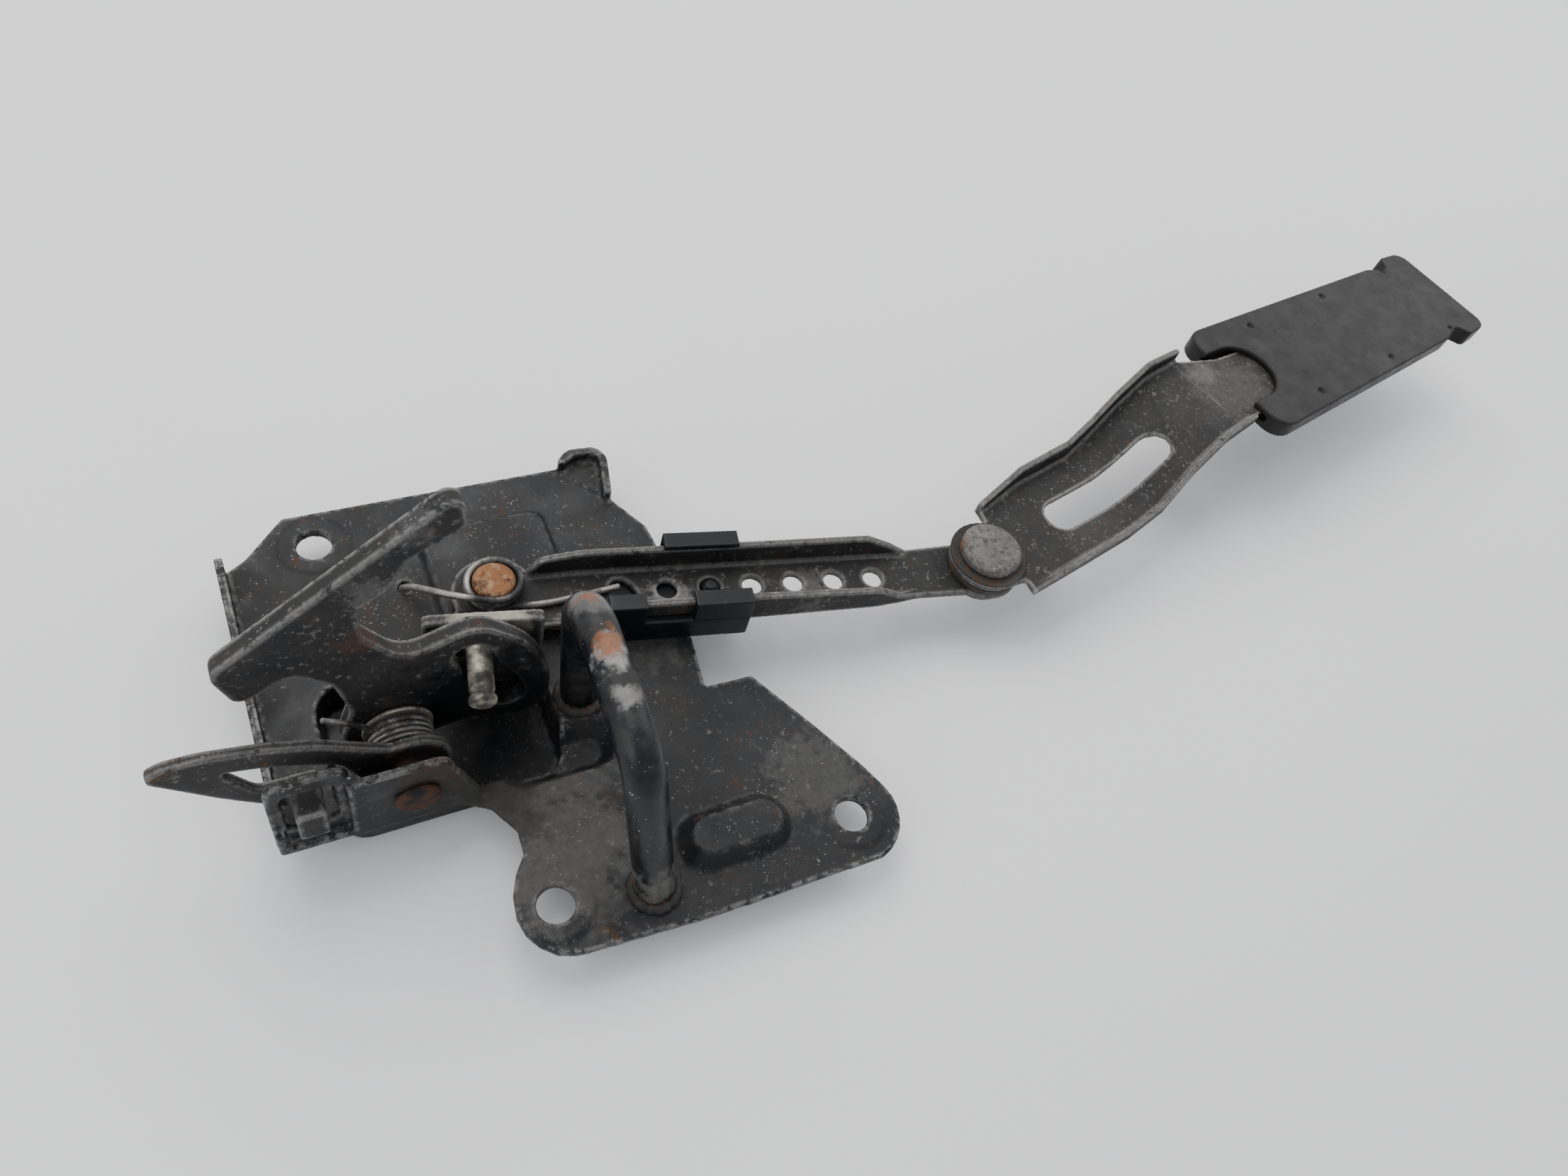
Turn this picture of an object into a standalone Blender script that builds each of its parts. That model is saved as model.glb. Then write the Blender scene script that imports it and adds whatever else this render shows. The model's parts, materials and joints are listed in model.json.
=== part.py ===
"""Bonnet striker plate with a sprung safety hook, a pull strap and a hinged release handle.

Drawing frame (millimetres): origin at the centre of the upper left bolt hole, on the plate's top
face. +X runs along the plate's top edge towards the handle, +Y away from the lip, +Z is the plate
normal on the side that carries the striker. The finished part is moved so that its origin is the
seat point on the plate's underside.
"""
import math

import bmesh
import bpy
from mathutils import Matrix, Vector

MM = 0.001                      # drawing unit in metres
GAP = 0.3                       # clearance between touching pieces
SHEET = 2.0                     # plate, strap and link sheet thickness
SEAT = Vector((0.0, -20.0, -2.0))   # seat point in the drawing frame, the part's origin

# Plate
BOLT_HOLES = ((0.0, 0.0), (29.4, -114.3), (106.7, -117.2))
BOLT_HOLE_R = 4.5
BOLT_PAD_R = 8.9
BOLT_PAD_H = 0.5
LIP_Y = -83.0                   # outer face of the turned-up lip
LIP_TOP = 25.0
TAB_Y = -80.6                   # outer face of the windowed tab beside the lip
TAB_RIGHT = -8.0
SIDE_FLANGE_X = -22.0
POCKET_DEPTH = 10.0
SPRING_HOLE = (18.8, -18.9)

# Striker bow
STRIKER_ROD_R = 5.0

# Safety hook, turning on a pin parallel to Y
HOOK_PIVOT = Vector((6.5, -62.0, 11.0))
HOOK_FRONT_Y = -64.0
HOOK_THICK = 4.5
HOOK_TAIL_R = 37.0
HOOK_PIN_R = 3.75
HOOK_OPEN_DEG = 18.0            # three times the strap's swing

# Pull strap, turning on a rivet parallel to Z
STRAP_RIVET = Vector((39.4, -29.8, 3.5))
STRAP_ANGLE = math.radians(-11.8)
STRAP_LENGTH = 143.5            # rivet to handle pivot
STRAP_OPEN_DEG = 6.0
STRAP_FAR_V = 7.0
STRAP_NEAR_V = -12.5
STRAP_FLANGE_H = 10.0
STRAP_HOLE_R = 2.9
STRAP_HOLE_PITCH = 12.2
LUG_BACK_V = -23.6
LUG_THICK = 3.0
LUG_TOP = 28.0                  # above the strap's underside
DRIVE_PIN_R = 3.0
DRIVE_PIN_U = -6.1
DRIVE_PIN_Z = 21.3              # above the strap's underside

# Handle, turning on the rivet at the strap's far end
LINK_Z = 8.0                    # underside of the link's eye in the drawing frame
LINK_RISE = 14.0
LINK_EYE_R = 11.5
GRIP_ANGLE = math.radians(10.5)
GRIP_LENGTH = 118.0
GRIP_WIDTH = 49.0
GRIP_THICK = 6.5

BLACK_STEEL = (0.055, 0.056, 0.058, 1.0)
DUSTY_STEEL = (0.12, 0.115, 0.105, 1.0)
ZINC = (0.55, 0.53, 0.45, 1.0)
RUST = (0.42, 0.17, 0.07, 1.0)
SPRING_STEEL = (0.5, 0.5, 0.48, 1.0)
BLACK_PLASTIC = (0.03, 0.032, 0.036, 1.0)


# ---------------------------------------------------------------- helpers

def clear_scene():
    """Empty the scene before modelling."""
    for obj in list(bpy.data.objects):
        bpy.data.objects.remove(obj, do_unlink=True)


def material(name, colour, roughness, metallic):
    """A Principled material with one colour."""
    mat = bpy.data.materials.new(name)
    mat.use_nodes = True
    shader = mat.node_tree.nodes["Principled BSDF"]
    shader.inputs["Base Color"].default_value = colour
    shader.inputs["Roughness"].default_value = roughness
    shader.inputs["Metallic"].default_value = metallic
    return mat


def make_object(name, bm, frame, mat=None, smooth=True):
    """Turn a bmesh in millimetres into an object placed by the matrix frame (millimetres)."""
    bmesh.ops.recalc_face_normals(bm, faces=bm.faces)
    bmesh.ops.scale(bm, vec=(MM, MM, MM), verts=bm.verts)
    mesh = bpy.data.meshes.new(name)
    bm.to_mesh(mesh)
    bm.free()
    if smooth:
        mesh.shade_smooth()
        mesh.set_sharp_from_angle(angle=math.radians(32))
    obj = bpy.data.objects.new(name, mesh)
    bpy.context.scene.collection.objects.link(obj)
    place = frame.copy()
    place.translation = (frame.translation - SEAT) * MM
    obj.matrix_world = place
    if mat:
        mesh.materials.append(mat)
    return obj


def boolean(target, bm, frame, operation):
    """Cut or join the shape in bm to target with a Boolean modifier on a hidden guide object."""
    guide = make_object(f"{target.name}_guide", bm, frame, smooth=False)
    guide.hide_render = True
    guide.display_type = 'WIRE'
    modifier = target.modifiers.new(operation.lower(), 'BOOLEAN')
    modifier.operation = operation
    modifier.solver = 'EXACT'
    modifier.object = guide


def cut(target, bm, frame):
    """Remove the shape in bm from target."""
    boolean(target, bm, frame, 'DIFFERENCE')


def fuse(target, bm, frame):
    """Join the shape in bm to target as one body."""
    boolean(target, bm, frame, 'UNION')


def arc(centre, radius, start_deg, end_deg, steps):
    """Points on an arc, both ends included."""
    points = []
    for i in range(steps + 1):
        angle = math.radians(start_deg + (end_deg - start_deg) * i / steps)
        points.append((centre[0] + radius * math.cos(angle), centre[1] + radius * math.sin(angle)))
    return points


def rounded(corners, steps=5):
    """Outline through corners given as (x, y, fillet radius)."""
    points = []
    count = len(corners)
    for i, (x, y, radius) in enumerate(corners):
        here = Vector((x, y))
        if radius <= 0:
            points.append((x, y))
            continue
        before = (Vector(corners[i - 1][:2]) - here).normalized()
        after = (Vector(corners[(i + 1) % count][:2]) - here).normalized()
        half = before.angle(after) / 2
        room = 0.48 * min((Vector(corners[i - 1][:2]) - here).length,
                          (Vector(corners[(i + 1) % count][:2]) - here).length)
        radius = min(radius, room * math.tan(half))
        reach = radius / math.tan(half)
        centre = here + (before + after).normalized() * (radius / math.sin(half))
        start = here + before * reach - centre
        end = here + after * reach - centre
        sweep = start.angle_signed(end)
        for k in range(steps + 1):
            turned = start.copy()
            turned.rotate(Matrix.Rotation(-sweep * k / steps, 2))
            points.append(tuple(centre + turned))
    return points


def rectangle(x0, x1, y0, y1, radius, steps=4):
    """Rounded rectangle outline."""
    corners = ((x0, y0, radius), (x1, y0, radius), (x1, y1, radius), (x0, y1, radius))
    return rounded(corners, steps)


def loft(rings):
    """Closed solid through rings of 3-D points, all rings with the same count."""
    bm = bmesh.new()
    loops = [[bm.verts.new(p) for p in ring] for ring in rings]
    bm.faces.new(loops[0])
    bm.faces.new(loops[-1])
    count = len(loops[0])
    for low, high in zip(loops, loops[1:]):
        for i in range(count):
            j = (i + 1) % count
            bm.faces.new((low[i], low[j], high[j], high[i]))
    return bm


def slab(outline, low, high):
    """Outline in the XY plane extruded from low to high along Z."""
    return loft([[(x, y, z) for x, y in outline] for z in (low, high)])


def wall(outline, low, high):
    """Outline in the XZ plane extruded from low to high along Y."""
    return loft([[(x, y, z) for x, z in outline] for y in (low, high)])


def tapered(low_outline, low, high_outline, high):
    """Solid between two outlines with the same number of points."""
    return loft([[(x, y, low) for x, y in low_outline], [(x, y, high) for x, y in high_outline]])


def turned(profile, sides):
    """Solid of revolution about Z from (radius, z) points; ends on the axis are closed flat."""
    rings = []
    for radius, z in profile:
        rings.append([(radius * math.cos(2 * math.pi * i / sides),
                       radius * math.sin(2 * math.pi * i / sides), z) for i in range(sides)])
    return loft(rings)


def ring_solid(inner, outer, low, high, sides):
    """Flat ring about Z."""
    bm = bmesh.new()
    loops = []
    for radius, z in ((inner, low), (outer, low), (outer, high), (inner, high)):
        loops.append([bm.verts.new((radius * math.cos(2 * math.pi * i / sides),
                                    radius * math.sin(2 * math.pi * i / sides), z))
                      for i in range(sides)])
    for k in range(4):
        first, second = loops[k], loops[(k + 1) % 4]
        for i in range(sides):
            j = (i + 1) % sides
            bm.faces.new((first[i], first[j], second[j], second[i]))
    return bm


def along_y(bm, y=0.0):
    """Turn a solid made about Z so that its axis lies along -Y, then shift it along Y."""
    bmesh.ops.rotate(bm, verts=bm.verts, cent=(0, 0, 0), matrix=Matrix.Rotation(math.pi / 2, 3, 'X'))
    bmesh.ops.translate(bm, verts=bm.verts, vec=(0, y, 0))
    return bm


def moved(bm, x, y, z):
    """Shift a shape."""
    bmesh.ops.translate(bm, verts=bm.verts, vec=(x, y, z))
    return bm


def rod(path, radius, sides, level_ends=False):
    """Round bar swept along a path of 3-D points; its ends are square or cut level with XY."""
    points = [Vector(p) for p in path]
    rings = []
    normal = None
    for i, point in enumerate(points):
        ahead = points[min(i + 1, len(points) - 1)]
        behind = points[max(i - 1, 0)]
        tangent = (ahead - behind).normalized()
        if normal is None:
            normal = tangent.orthogonal().normalized()
        normal = (normal - tangent * normal.dot(tangent)).normalized()
        side = tangent.cross(normal)
        ring = []
        for k in range(sides):
            angle = 2 * math.pi * k / sides
            ring.append(point + (normal * math.cos(angle) + side * math.sin(angle)) * radius)
        if level_ends and i in (0, len(points) - 1):
            ring = [p + tangent * ((point.z - p.z) / tangent.z) for p in ring]
        rings.append(ring)
    return loft(rings)


def bent_path(corners, steps=6):
    """3-D path through corners given as (x, y, z, bend radius)."""
    points = [Vector(corners[0][:3])]
    for i in range(1, len(corners) - 1):
        here = Vector(corners[i][:3])
        before = (Vector(corners[i - 1][:3]) - here).normalized()
        after = (Vector(corners[i + 1][:3]) - here).normalized()
        half = before.angle(after) / 2
        reach = corners[i][3] / math.tan(half)
        centre = here + (before + after).normalized() * (corners[i][3] / math.sin(half))
        start = here + before * reach - centre
        end = here + after * reach - centre
        turn = start.rotation_difference(end)
        axis, angle = turn.to_axis_angle()
        for k in range(steps + 1):
            points.append(centre + Matrix.Rotation(angle * k / steps, 3, axis) @ start)
    points.append(Vector(corners[-1][:3]))
    return points


def capsule_chain(centres, half_width, steps=6):
    """Outline of a slot of constant width that follows a line of centres."""
    line = [Vector(c) for c in centres]
    left, right = [], []
    for i, point in enumerate(line):
        tangent = (line[min(i + 1, len(line) - 1)] - line[max(i - 1, 0)]).normalized()
        normal = Vector((-tangent.y, tangent.x)) * half_width
        left.append(tuple(point + normal))
        right.append(tuple(point - normal))
    first = (line[1] - line[0]).normalized()
    last = (line[-1] - line[-2]).normalized()
    first_deg = math.degrees(math.atan2(first.y, first.x))
    last_deg = math.degrees(math.atan2(last.y, last.x))
    head = arc(line[-1], half_width, last_deg + 90, last_deg - 90, steps)[1:-1]
    tail = arc(line[0], half_width, first_deg - 90, first_deg - 270, steps)[1:-1]
    return left + head + right[::-1] + tail


# Frames that the bodies are drawn in
DRAWING = Matrix.Translation((0.0, 0.0, 0.0))
HOOK_FRAME = Matrix.Translation(HOOK_PIVOT)
STRAP_FRAME = Matrix.Translation(STRAP_RIVET) @ Matrix.Rotation(STRAP_ANGLE, 4, 'Z')
HANDLE_AXIS = STRAP_FRAME @ Vector((STRAP_LENGTH, 0.0, 0.0))
HANDLE_FRAME = Matrix.Translation((HANDLE_AXIS.x, HANDLE_AXIS.y, LINK_Z))


# ---------------------------------------------------------------- plate and its fixed pieces

def plate_outline():
    """Outer edge of the pressed plate, seen along the bolt axes."""
    right_lobe = arc(BOLT_HOLES[2], 13.2, 20, -75, 7)
    left_lobe = [(31.0, -127.0), (26.6, -125.4), (23.2, -122.4), (21.0, -118.6), (20.2, -114.3),
                 (20.9, -109.0), (23.2, -104.0)]
    edge = [(-22.0, -4.0), (-17.0, 0.0), (-6.2, 11.1), (71.5, 11.1), (75.0, 14.6), (80.0, 14.6),
            (82.0, 12.0), (81.0, -2.0), (88.5, -15.8), (89.0, -25.0), (86.8, -57.0), (84.7, -70.7),
            (98.2, -71.1), (107.6, -88.5), (116.0, -105.0)]
    edge += right_lobe
    edge += [(62.0, -129.2)]
    edge += left_lobe
    edge += [(26.2, -100.0), (26.6, -94.0), (22.5, -86.5), (16.0, LIP_Y + 0.4), (SIDE_FLANGE_X - 1.6, LIP_Y + 0.4)]
    edge += [(SIDE_FLANGE_X - 1.6, -4.0)]
    return edge[1:]


def add_flanges(plate):
    """Turned-up side flange, front lip with its window, and the small ear at the top edge."""
    low = -SHEET + 0.3
    side = ((SIDE_FLANGE_X - SHEET, low), (SIDE_FLANGE_X, low), (SIDE_FLANGE_X, 7.0),
            (SIDE_FLANGE_X - SHEET, 7.0))
    fuse(plate, wall(side, LIP_Y + 0.5, -3.0), DRAWING)
    lip_end = SIDE_FLANGE_X - SHEET - 0.3
    lip = rounded(((TAB_RIGHT, low + 0.2, 0), (22.5, low + 0.2, 0), (21.0, 3.0, 2.0),
                   (13.5, LIP_TOP - 1.5, 4.0), (TAB_RIGHT, LIP_TOP - 1.5, 2.0)))
    fuse(plate, wall(lip, LIP_Y, LIP_Y + SHEET), DRAWING)
    joggle = ((TAB_RIGHT, low + 0.3), (TAB_RIGHT + SHEET, low + 0.3),
              (TAB_RIGHT + SHEET, LIP_TOP - 2.4), (TAB_RIGHT, LIP_TOP - 2.4))
    fuse(plate, wall(joggle, LIP_Y + 0.4, TAB_Y + SHEET - 0.3), DRAWING)
    tab = rounded(((lip_end, low + 0.2, 0), (TAB_RIGHT + 1.2, low + 0.2, 0),
                   (TAB_RIGHT + 1.2, LIP_TOP + 2.0, 3.5), (lip_end, LIP_TOP + 2.0, 3.5)))
    fuse(plate, wall(tab, TAB_Y, TAB_Y + SHEET), DRAWING)
    window = rectangle(-21.2, -10.2, 5.6, 22.0, 1.6)
    cut(plate, wall(window, TAB_Y - 2.0, TAB_Y + SHEET + 2.0), DRAWING)
    ear = rounded(((79.2, -4.0, 0), (81.4, -4.4, 0), (84.6, 9.0, 5.0), (82.4, 13.6, 4.0),
                   (73.6, 13.9, 4.0), (69.6, 10.4, 3.0), (70.4, 8.4, 1.0), (75.2, 11.2, 2.0),
                   (81.2, 10.8, 2.0), (81.9, 8.6, 2.0)))
    fuse(plate, slab(ear, -SHEET + 0.2, 4.6), DRAWING)
    web = rounded(((70.6, 8.6, 0), (80.0, -2.4, 0), (83.0, 9.2, 2.0), (75.6, 12.4, 2.0)))
    fuse(plate, slab(web, -SHEET + 0.35, 0.9), DRAWING)


def add_pressings(plate):
    """Pocket for the hook's tail, raised seat for the strap rivet and the stiffening bead."""
    pockets = ((-10.0, 45.2, -80.2, -43.0, 8.0, POCKET_DEPTH, 1.8),
               (26.0, 57.5, -84.6, -69.6, 7.0, POCKET_DEPTH - 4.0, 4.0))
    for x0, x1, y0, y1, radius, depth, draft in pockets:
        outer_rim = rectangle(x0 - 1.6, x1 + 1.6, y0 - 1.6, y1 + 1.6, radius + 1.6)
        step = draft - 1.6
        outer_floor = rectangle(x0 + step, x1 - step, y0 + step, y1 - step, radius - 2.4)
        fuse(plate, tapered(outer_floor, -depth - SHEET, outer_rim, -0.6), DRAWING)
    for x0, x1, y0, y1, radius, depth, draft in pockets:
        rim = rectangle(x0, x1, y0, y1, radius)
        floor = rectangle(x0 + draft, x1 - draft, y0 + draft, y1 - draft, radius - 3.6)
        cut(plate, tapered(floor, -depth, rim, 0.2), DRAWING)
    seat_foot = rectangle(24.0, 62.0, -40.0, -1.5, 5.0)
    seat_top = rectangle(26.5, 59.5, -37.8, -4.0, 4.0)
    fuse(plate, tapered(seat_foot, -1.0, seat_top, 2.2), DRAWING)
    seat_under = rectangle(27.5, 58.5, -36.8, -5.0, 4.0)
    cut(plate, slab(seat_under, -SHEET - 1.0, 0.2), DRAWING)
    bead_foot = rectangle(60.0, 92.0, -120.5, -103.0, 8.0, 5)
    bead_top = rectangle(64.5, 87.5, -116.5, -107.0, 4.6, 5)
    fuse(plate, tapered(bead_foot, -1.0, bead_top, 4.5), DRAWING)
    bead_under = rectangle(64.0, 88.0, -117.0, -106.5, 4.6, 5)
    cut(plate, slab(bead_under, -SHEET - 1.0, 2.0), DRAWING)


def add_bolt_holes(plate):
    """Raised bolt pads with clearance holes, the spring leg hole and the pivot pin hole."""
    for x, y in BOLT_HOLES:
        fuse(plate, moved(turned(((BOLT_PAD_R, -1.0), (BOLT_PAD_R, BOLT_PAD_H)), 32), x, y, 0), DRAWING)
    for x, y in BOLT_HOLES:
        cut(plate, moved(turned(((BOLT_HOLE_R, -4.0), (BOLT_HOLE_R, 4.0)), 32), x, y, 0), DRAWING)
    cut(plate, moved(turned(((1.8, -4.0), (1.8, 4.0)), 12), *SPRING_HOLE, 0), DRAWING)
    rivet_hole = moved(turned(((3.3, -4.0), (3.3, 4.0)), 24), STRAP_RIVET.x, STRAP_RIVET.y, 0)
    cut(plate, rivet_hole, DRAWING)
    pin_hole = along_y(turned(((HOOK_PIN_R + GAP, -5.0), (HOOK_PIN_R + GAP, 5.0)), 24))
    cut(plate, moved(pin_hole, HOOK_PIVOT.x, LIP_Y, HOOK_PIVOT.z), DRAWING)


def base_plate(mat):
    """Pressed mounting plate in one piece."""
    plate = make_object("base_plate", slab(plate_outline(), -SHEET, 0.0), DRAWING, mat)
    add_pressings(plate)
    add_flanges(plate)
    add_bolt_holes(plate)
    return plate


def striker_bow(mat):
    """Round bar bent into a bow, both feet welded to the plate."""
    corners = ((52.0, -63.4, GAP, 0), (50.4, -60.3, 45.0, 11.0),
               (49.2, -104.6, 41.0, 12.0), (52.2, -118.2, GAP, 0))
    return make_object("striker_bow", rod(bent_path(corners, 7), STRIKER_ROD_R, 20, True),
                       DRAWING, mat)


def hook_pivot_pin(mat):
    """Shouldered pin, riveted over on the lip's outer face and headed behind the hook."""
    reach = -LIP_Y + HOOK_PIVOT.y
    profile = ((3.6, -8.0), (4.4, -7.2), (HOOK_PIN_R, -7.2), (HOOK_PIN_R, reach + GAP),
               (5.3, reach + GAP), (5.3, reach + 1.2), (4.2, reach + 1.9))
    return make_object("hook_pivot_pin", along_y(turned(profile, 28)), HOOK_FRAME, mat)


def pin_washer(mat):
    """Washer that keeps the hook on its pin."""
    behind = HOOK_FRONT_Y + HOOK_THICK - HOOK_PIVOT.y
    low = -behind - GAP - 1.2
    bm = along_y(ring_solid(HOOK_PIN_R + 0.05, 7.2, low, low + 1.2, 28))
    return make_object("pin_washer", bm, HOOK_FRAME, mat)


def spring_sleeve(mat):
    """Spacer tube inside the hook's spring."""
    front = HOOK_PIVOT.y - HOOK_FRONT_Y
    bm = along_y(ring_solid(HOOK_PIN_R + 0.05, 5.6, front + 1.0 + 2 * GAP, 10.6, 28))
    return make_object("spring_sleeve", bm, HOOK_FRAME, mat)


def hook_spring(mat):
    """Torsion spring round the sleeve, one leg along the horn and one towards the hook."""
    turns = 3.6
    coil_r = 7.2
    first, last = -4.4, -9.7
    path = [(-16.0, first, 14.5), (-6.4, first, 6.6)]
    steps = 58
    start_deg = 152.0
    for i in range(steps + 1):
        part = i / steps
        angle = math.radians(start_deg - 360.0 * turns * part)
        path.append((coil_r * math.cos(angle), first + (last - first) * part, coil_r * math.sin(angle)))
    return make_object("hook_spring", rod(path, 0.75, 8), HOOK_FRAME, mat)


def guide_horn(mat):
    """Pointed wishbone bracket: one branch ends in an eye on the pin, one in the lip's window."""
    front, back = -75.6, -73.0
    top = [(-43.2, 35.8, 1.2), (-40.4, 37.6, 4.0), (-32.8, 37.6, 12.0), (-20.9, 34.8, 20.0),
           (-11.3, 30.6, 14.0), (-3.0, 24.6, 8.0)]
    eye = arc((HOOK_PIVOT.x, HOOK_PIVOT.z), 10.0, 110, -150, 14)
    under = [(-8.0, 20.4, 6.0), (-17.0, 25.4, 8.0), (-23.0, 28.0, 8.0), (-31.0, 30.2, 0.8),
             (-24.6, 17.6, 3.0), (-12.6, 17.6, 0.8), (-12.5, 7.2, 0.8), (-20.4, 7.2, 1.5),
             (-31.8, 19.0, 20.0), (-43.4, 33.2, 1.5)]
    corners = top + [(x, z, 0.0) for x, z in eye] + under
    horn = make_object("guide_horn", wall(rounded(corners, 3), front, back), DRAWING, mat)
    tongue = wall(rectangle(-19.1, -12.7, 7.5, 18.0, 0.8, 2), LIP_Y - 1.6, front + 1.0)
    fuse(horn, tongue, DRAWING)
    hole = along_y(turned(((HOOK_PIN_R + GAP, -4.0), (HOOK_PIN_R + GAP, 4.0)), 24))
    cut(horn, moved(hole, HOOK_PIVOT.x, (front + back) / 2, HOOK_PIVOT.z), DRAWING)
    return horn


# ---------------------------------------------------------------- safety hook

def drive_pin_in_hook(strap_deg, hook_deg):
    """Where the strap's drive pin crosses the hook, in the hook's own XZ frame at that pose."""
    turn = Matrix.Rotation(STRAP_ANGLE + math.radians(strap_deg), 4, 'Z')
    along = (turn @ Vector((DRIVE_PIN_U, 0.0, 0.0))) + STRAP_RIVET
    down = turn @ Vector((0.0, -1.0, 0.0))
    reach = (HOOK_FRONT_Y + HOOK_THICK / 2 - along.y) / down.y
    x = along.x + down.x * reach - HOOK_PIVOT.x
    z = STRAP_RIVET.z + DRIVE_PIN_Z - HOOK_PIVOT.z
    swing = math.radians(hook_deg)
    return (x * math.cos(swing) - z * math.sin(swing), x * math.sin(swing) + z * math.cos(swing))


def safety_hook(mat):
    """Flat hook: anchor head, neck, hub and a round tail with the cam slot for the drive pin."""
    px, pz = HOOK_PIVOT.x, HOOK_PIVOT.z
    head = [(-24.6, 35.6, 5.0), (-28.4, 48.3, 5.0), (22.0, 91.0, 4.0), (23.8, 80.6, 4.0),
            (11.4, 73.5, 8.0), (7.6, 65.0, 5.0), (0.8, 60.0, 6.0), (1.4, 50.0, 6.0), (9.6, 37.6, 6.0),
            (25.6, 44.2, 10.0)]
    corners = [(x - px, z - pz, radius) for x, z, radius in head]
    tail = arc((0.0, 0.0), HOOK_TAIL_R, 45, -4, 12)
    end = [(HOOK_TAIL_R - 0.6, -8.0, 3.0), (30.0, -11.0, 3.0), (17.0, -6.5, 5.0)]
    hub = arc((0.0, 0.0), 12.5, -40, -175, 10)
    neck = [(-9.5, 10.0, 8.0), (-12.6, 24.5, 10.0), (-20.6, 31.6, 6.0), (-25.8, 27.0, 3.0)]
    corners += [(x, z, 0.0) for x, z in tail] + end + [(x, z, 0.0) for x, z in hub] + neck
    front = HOOK_FRONT_Y - HOOK_PIVOT.y
    hook = make_object("safety_hook", wall(rounded(corners), front, front + HOOK_THICK), HOOK_FRAME, mat)
    hole = along_y(turned(((5.3, -8.0), (5.3, 8.0)), 28))
    cut(hook, hole, HOOK_FRAME)
    count = 4
    path = [(26.6, -0.5), (24.6, 6.0)]
    for i in range(count + 1):
        part = i / count
        path.append(drive_pin_in_hook(STRAP_OPEN_DEG * part, HOOK_OPEN_DEG * part))
    path.append((path[-1][0] - 0.6, path[-1][1] + 1.4))
    slot = capsule_chain(path, DRIVE_PIN_R + 1.2)
    cut(hook, wall(slot, front - 2.0, front + HOOK_THICK + 2.0), HOOK_FRAME)
    return hook


def hook_bush(mat):
    """Flanged bearing bush pressed in the hook's hub."""
    front = HOOK_PIVOT.y - HOOK_FRONT_Y
    bm = bmesh.new()
    sides = 28
    inner, outer, flange = HOOK_PIN_R + 0.05, 5.0, 8.2
    profile = ((inner, front + 1.0 + GAP), (flange, front + 1.0 + GAP), (flange, front + GAP),
               (outer, front + GAP), (outer, front - HOOK_THICK + 0.2), (inner, front - HOOK_THICK + 0.2))
    loops = []
    for radius, z in profile:
        loops.append([bm.verts.new((radius * math.cos(2 * math.pi * i / sides),
                                    radius * math.sin(2 * math.pi * i / sides), z))
                      for i in range(sides)])
    for k in range(len(loops)):
        first, second = loops[k], loops[(k + 1) % len(loops)]
        for i in range(sides):
            j = (i + 1) % sides
            bm.faces.new((first[i], first[j], second[j], second[i]))
    return make_object("hook_bush", along_y(bm), HOOK_FRAME, mat)


# ---------------------------------------------------------------- pull strap

def channel_section(u, far, near, far_top, near_top, low=0.0):
    """Cross-section of a channel with two turned-up flanges, at the distance u along it."""
    return [(u, far, low), (u, far, low + far_top), (u, far - SHEET, low + far_top),
            (u, far - SHEET, low + SHEET), (u, near + SHEET, low + SHEET),
            (u, near + SHEET, low + near_top), (u, near, low + near_top), (u, near, low)]


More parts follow.
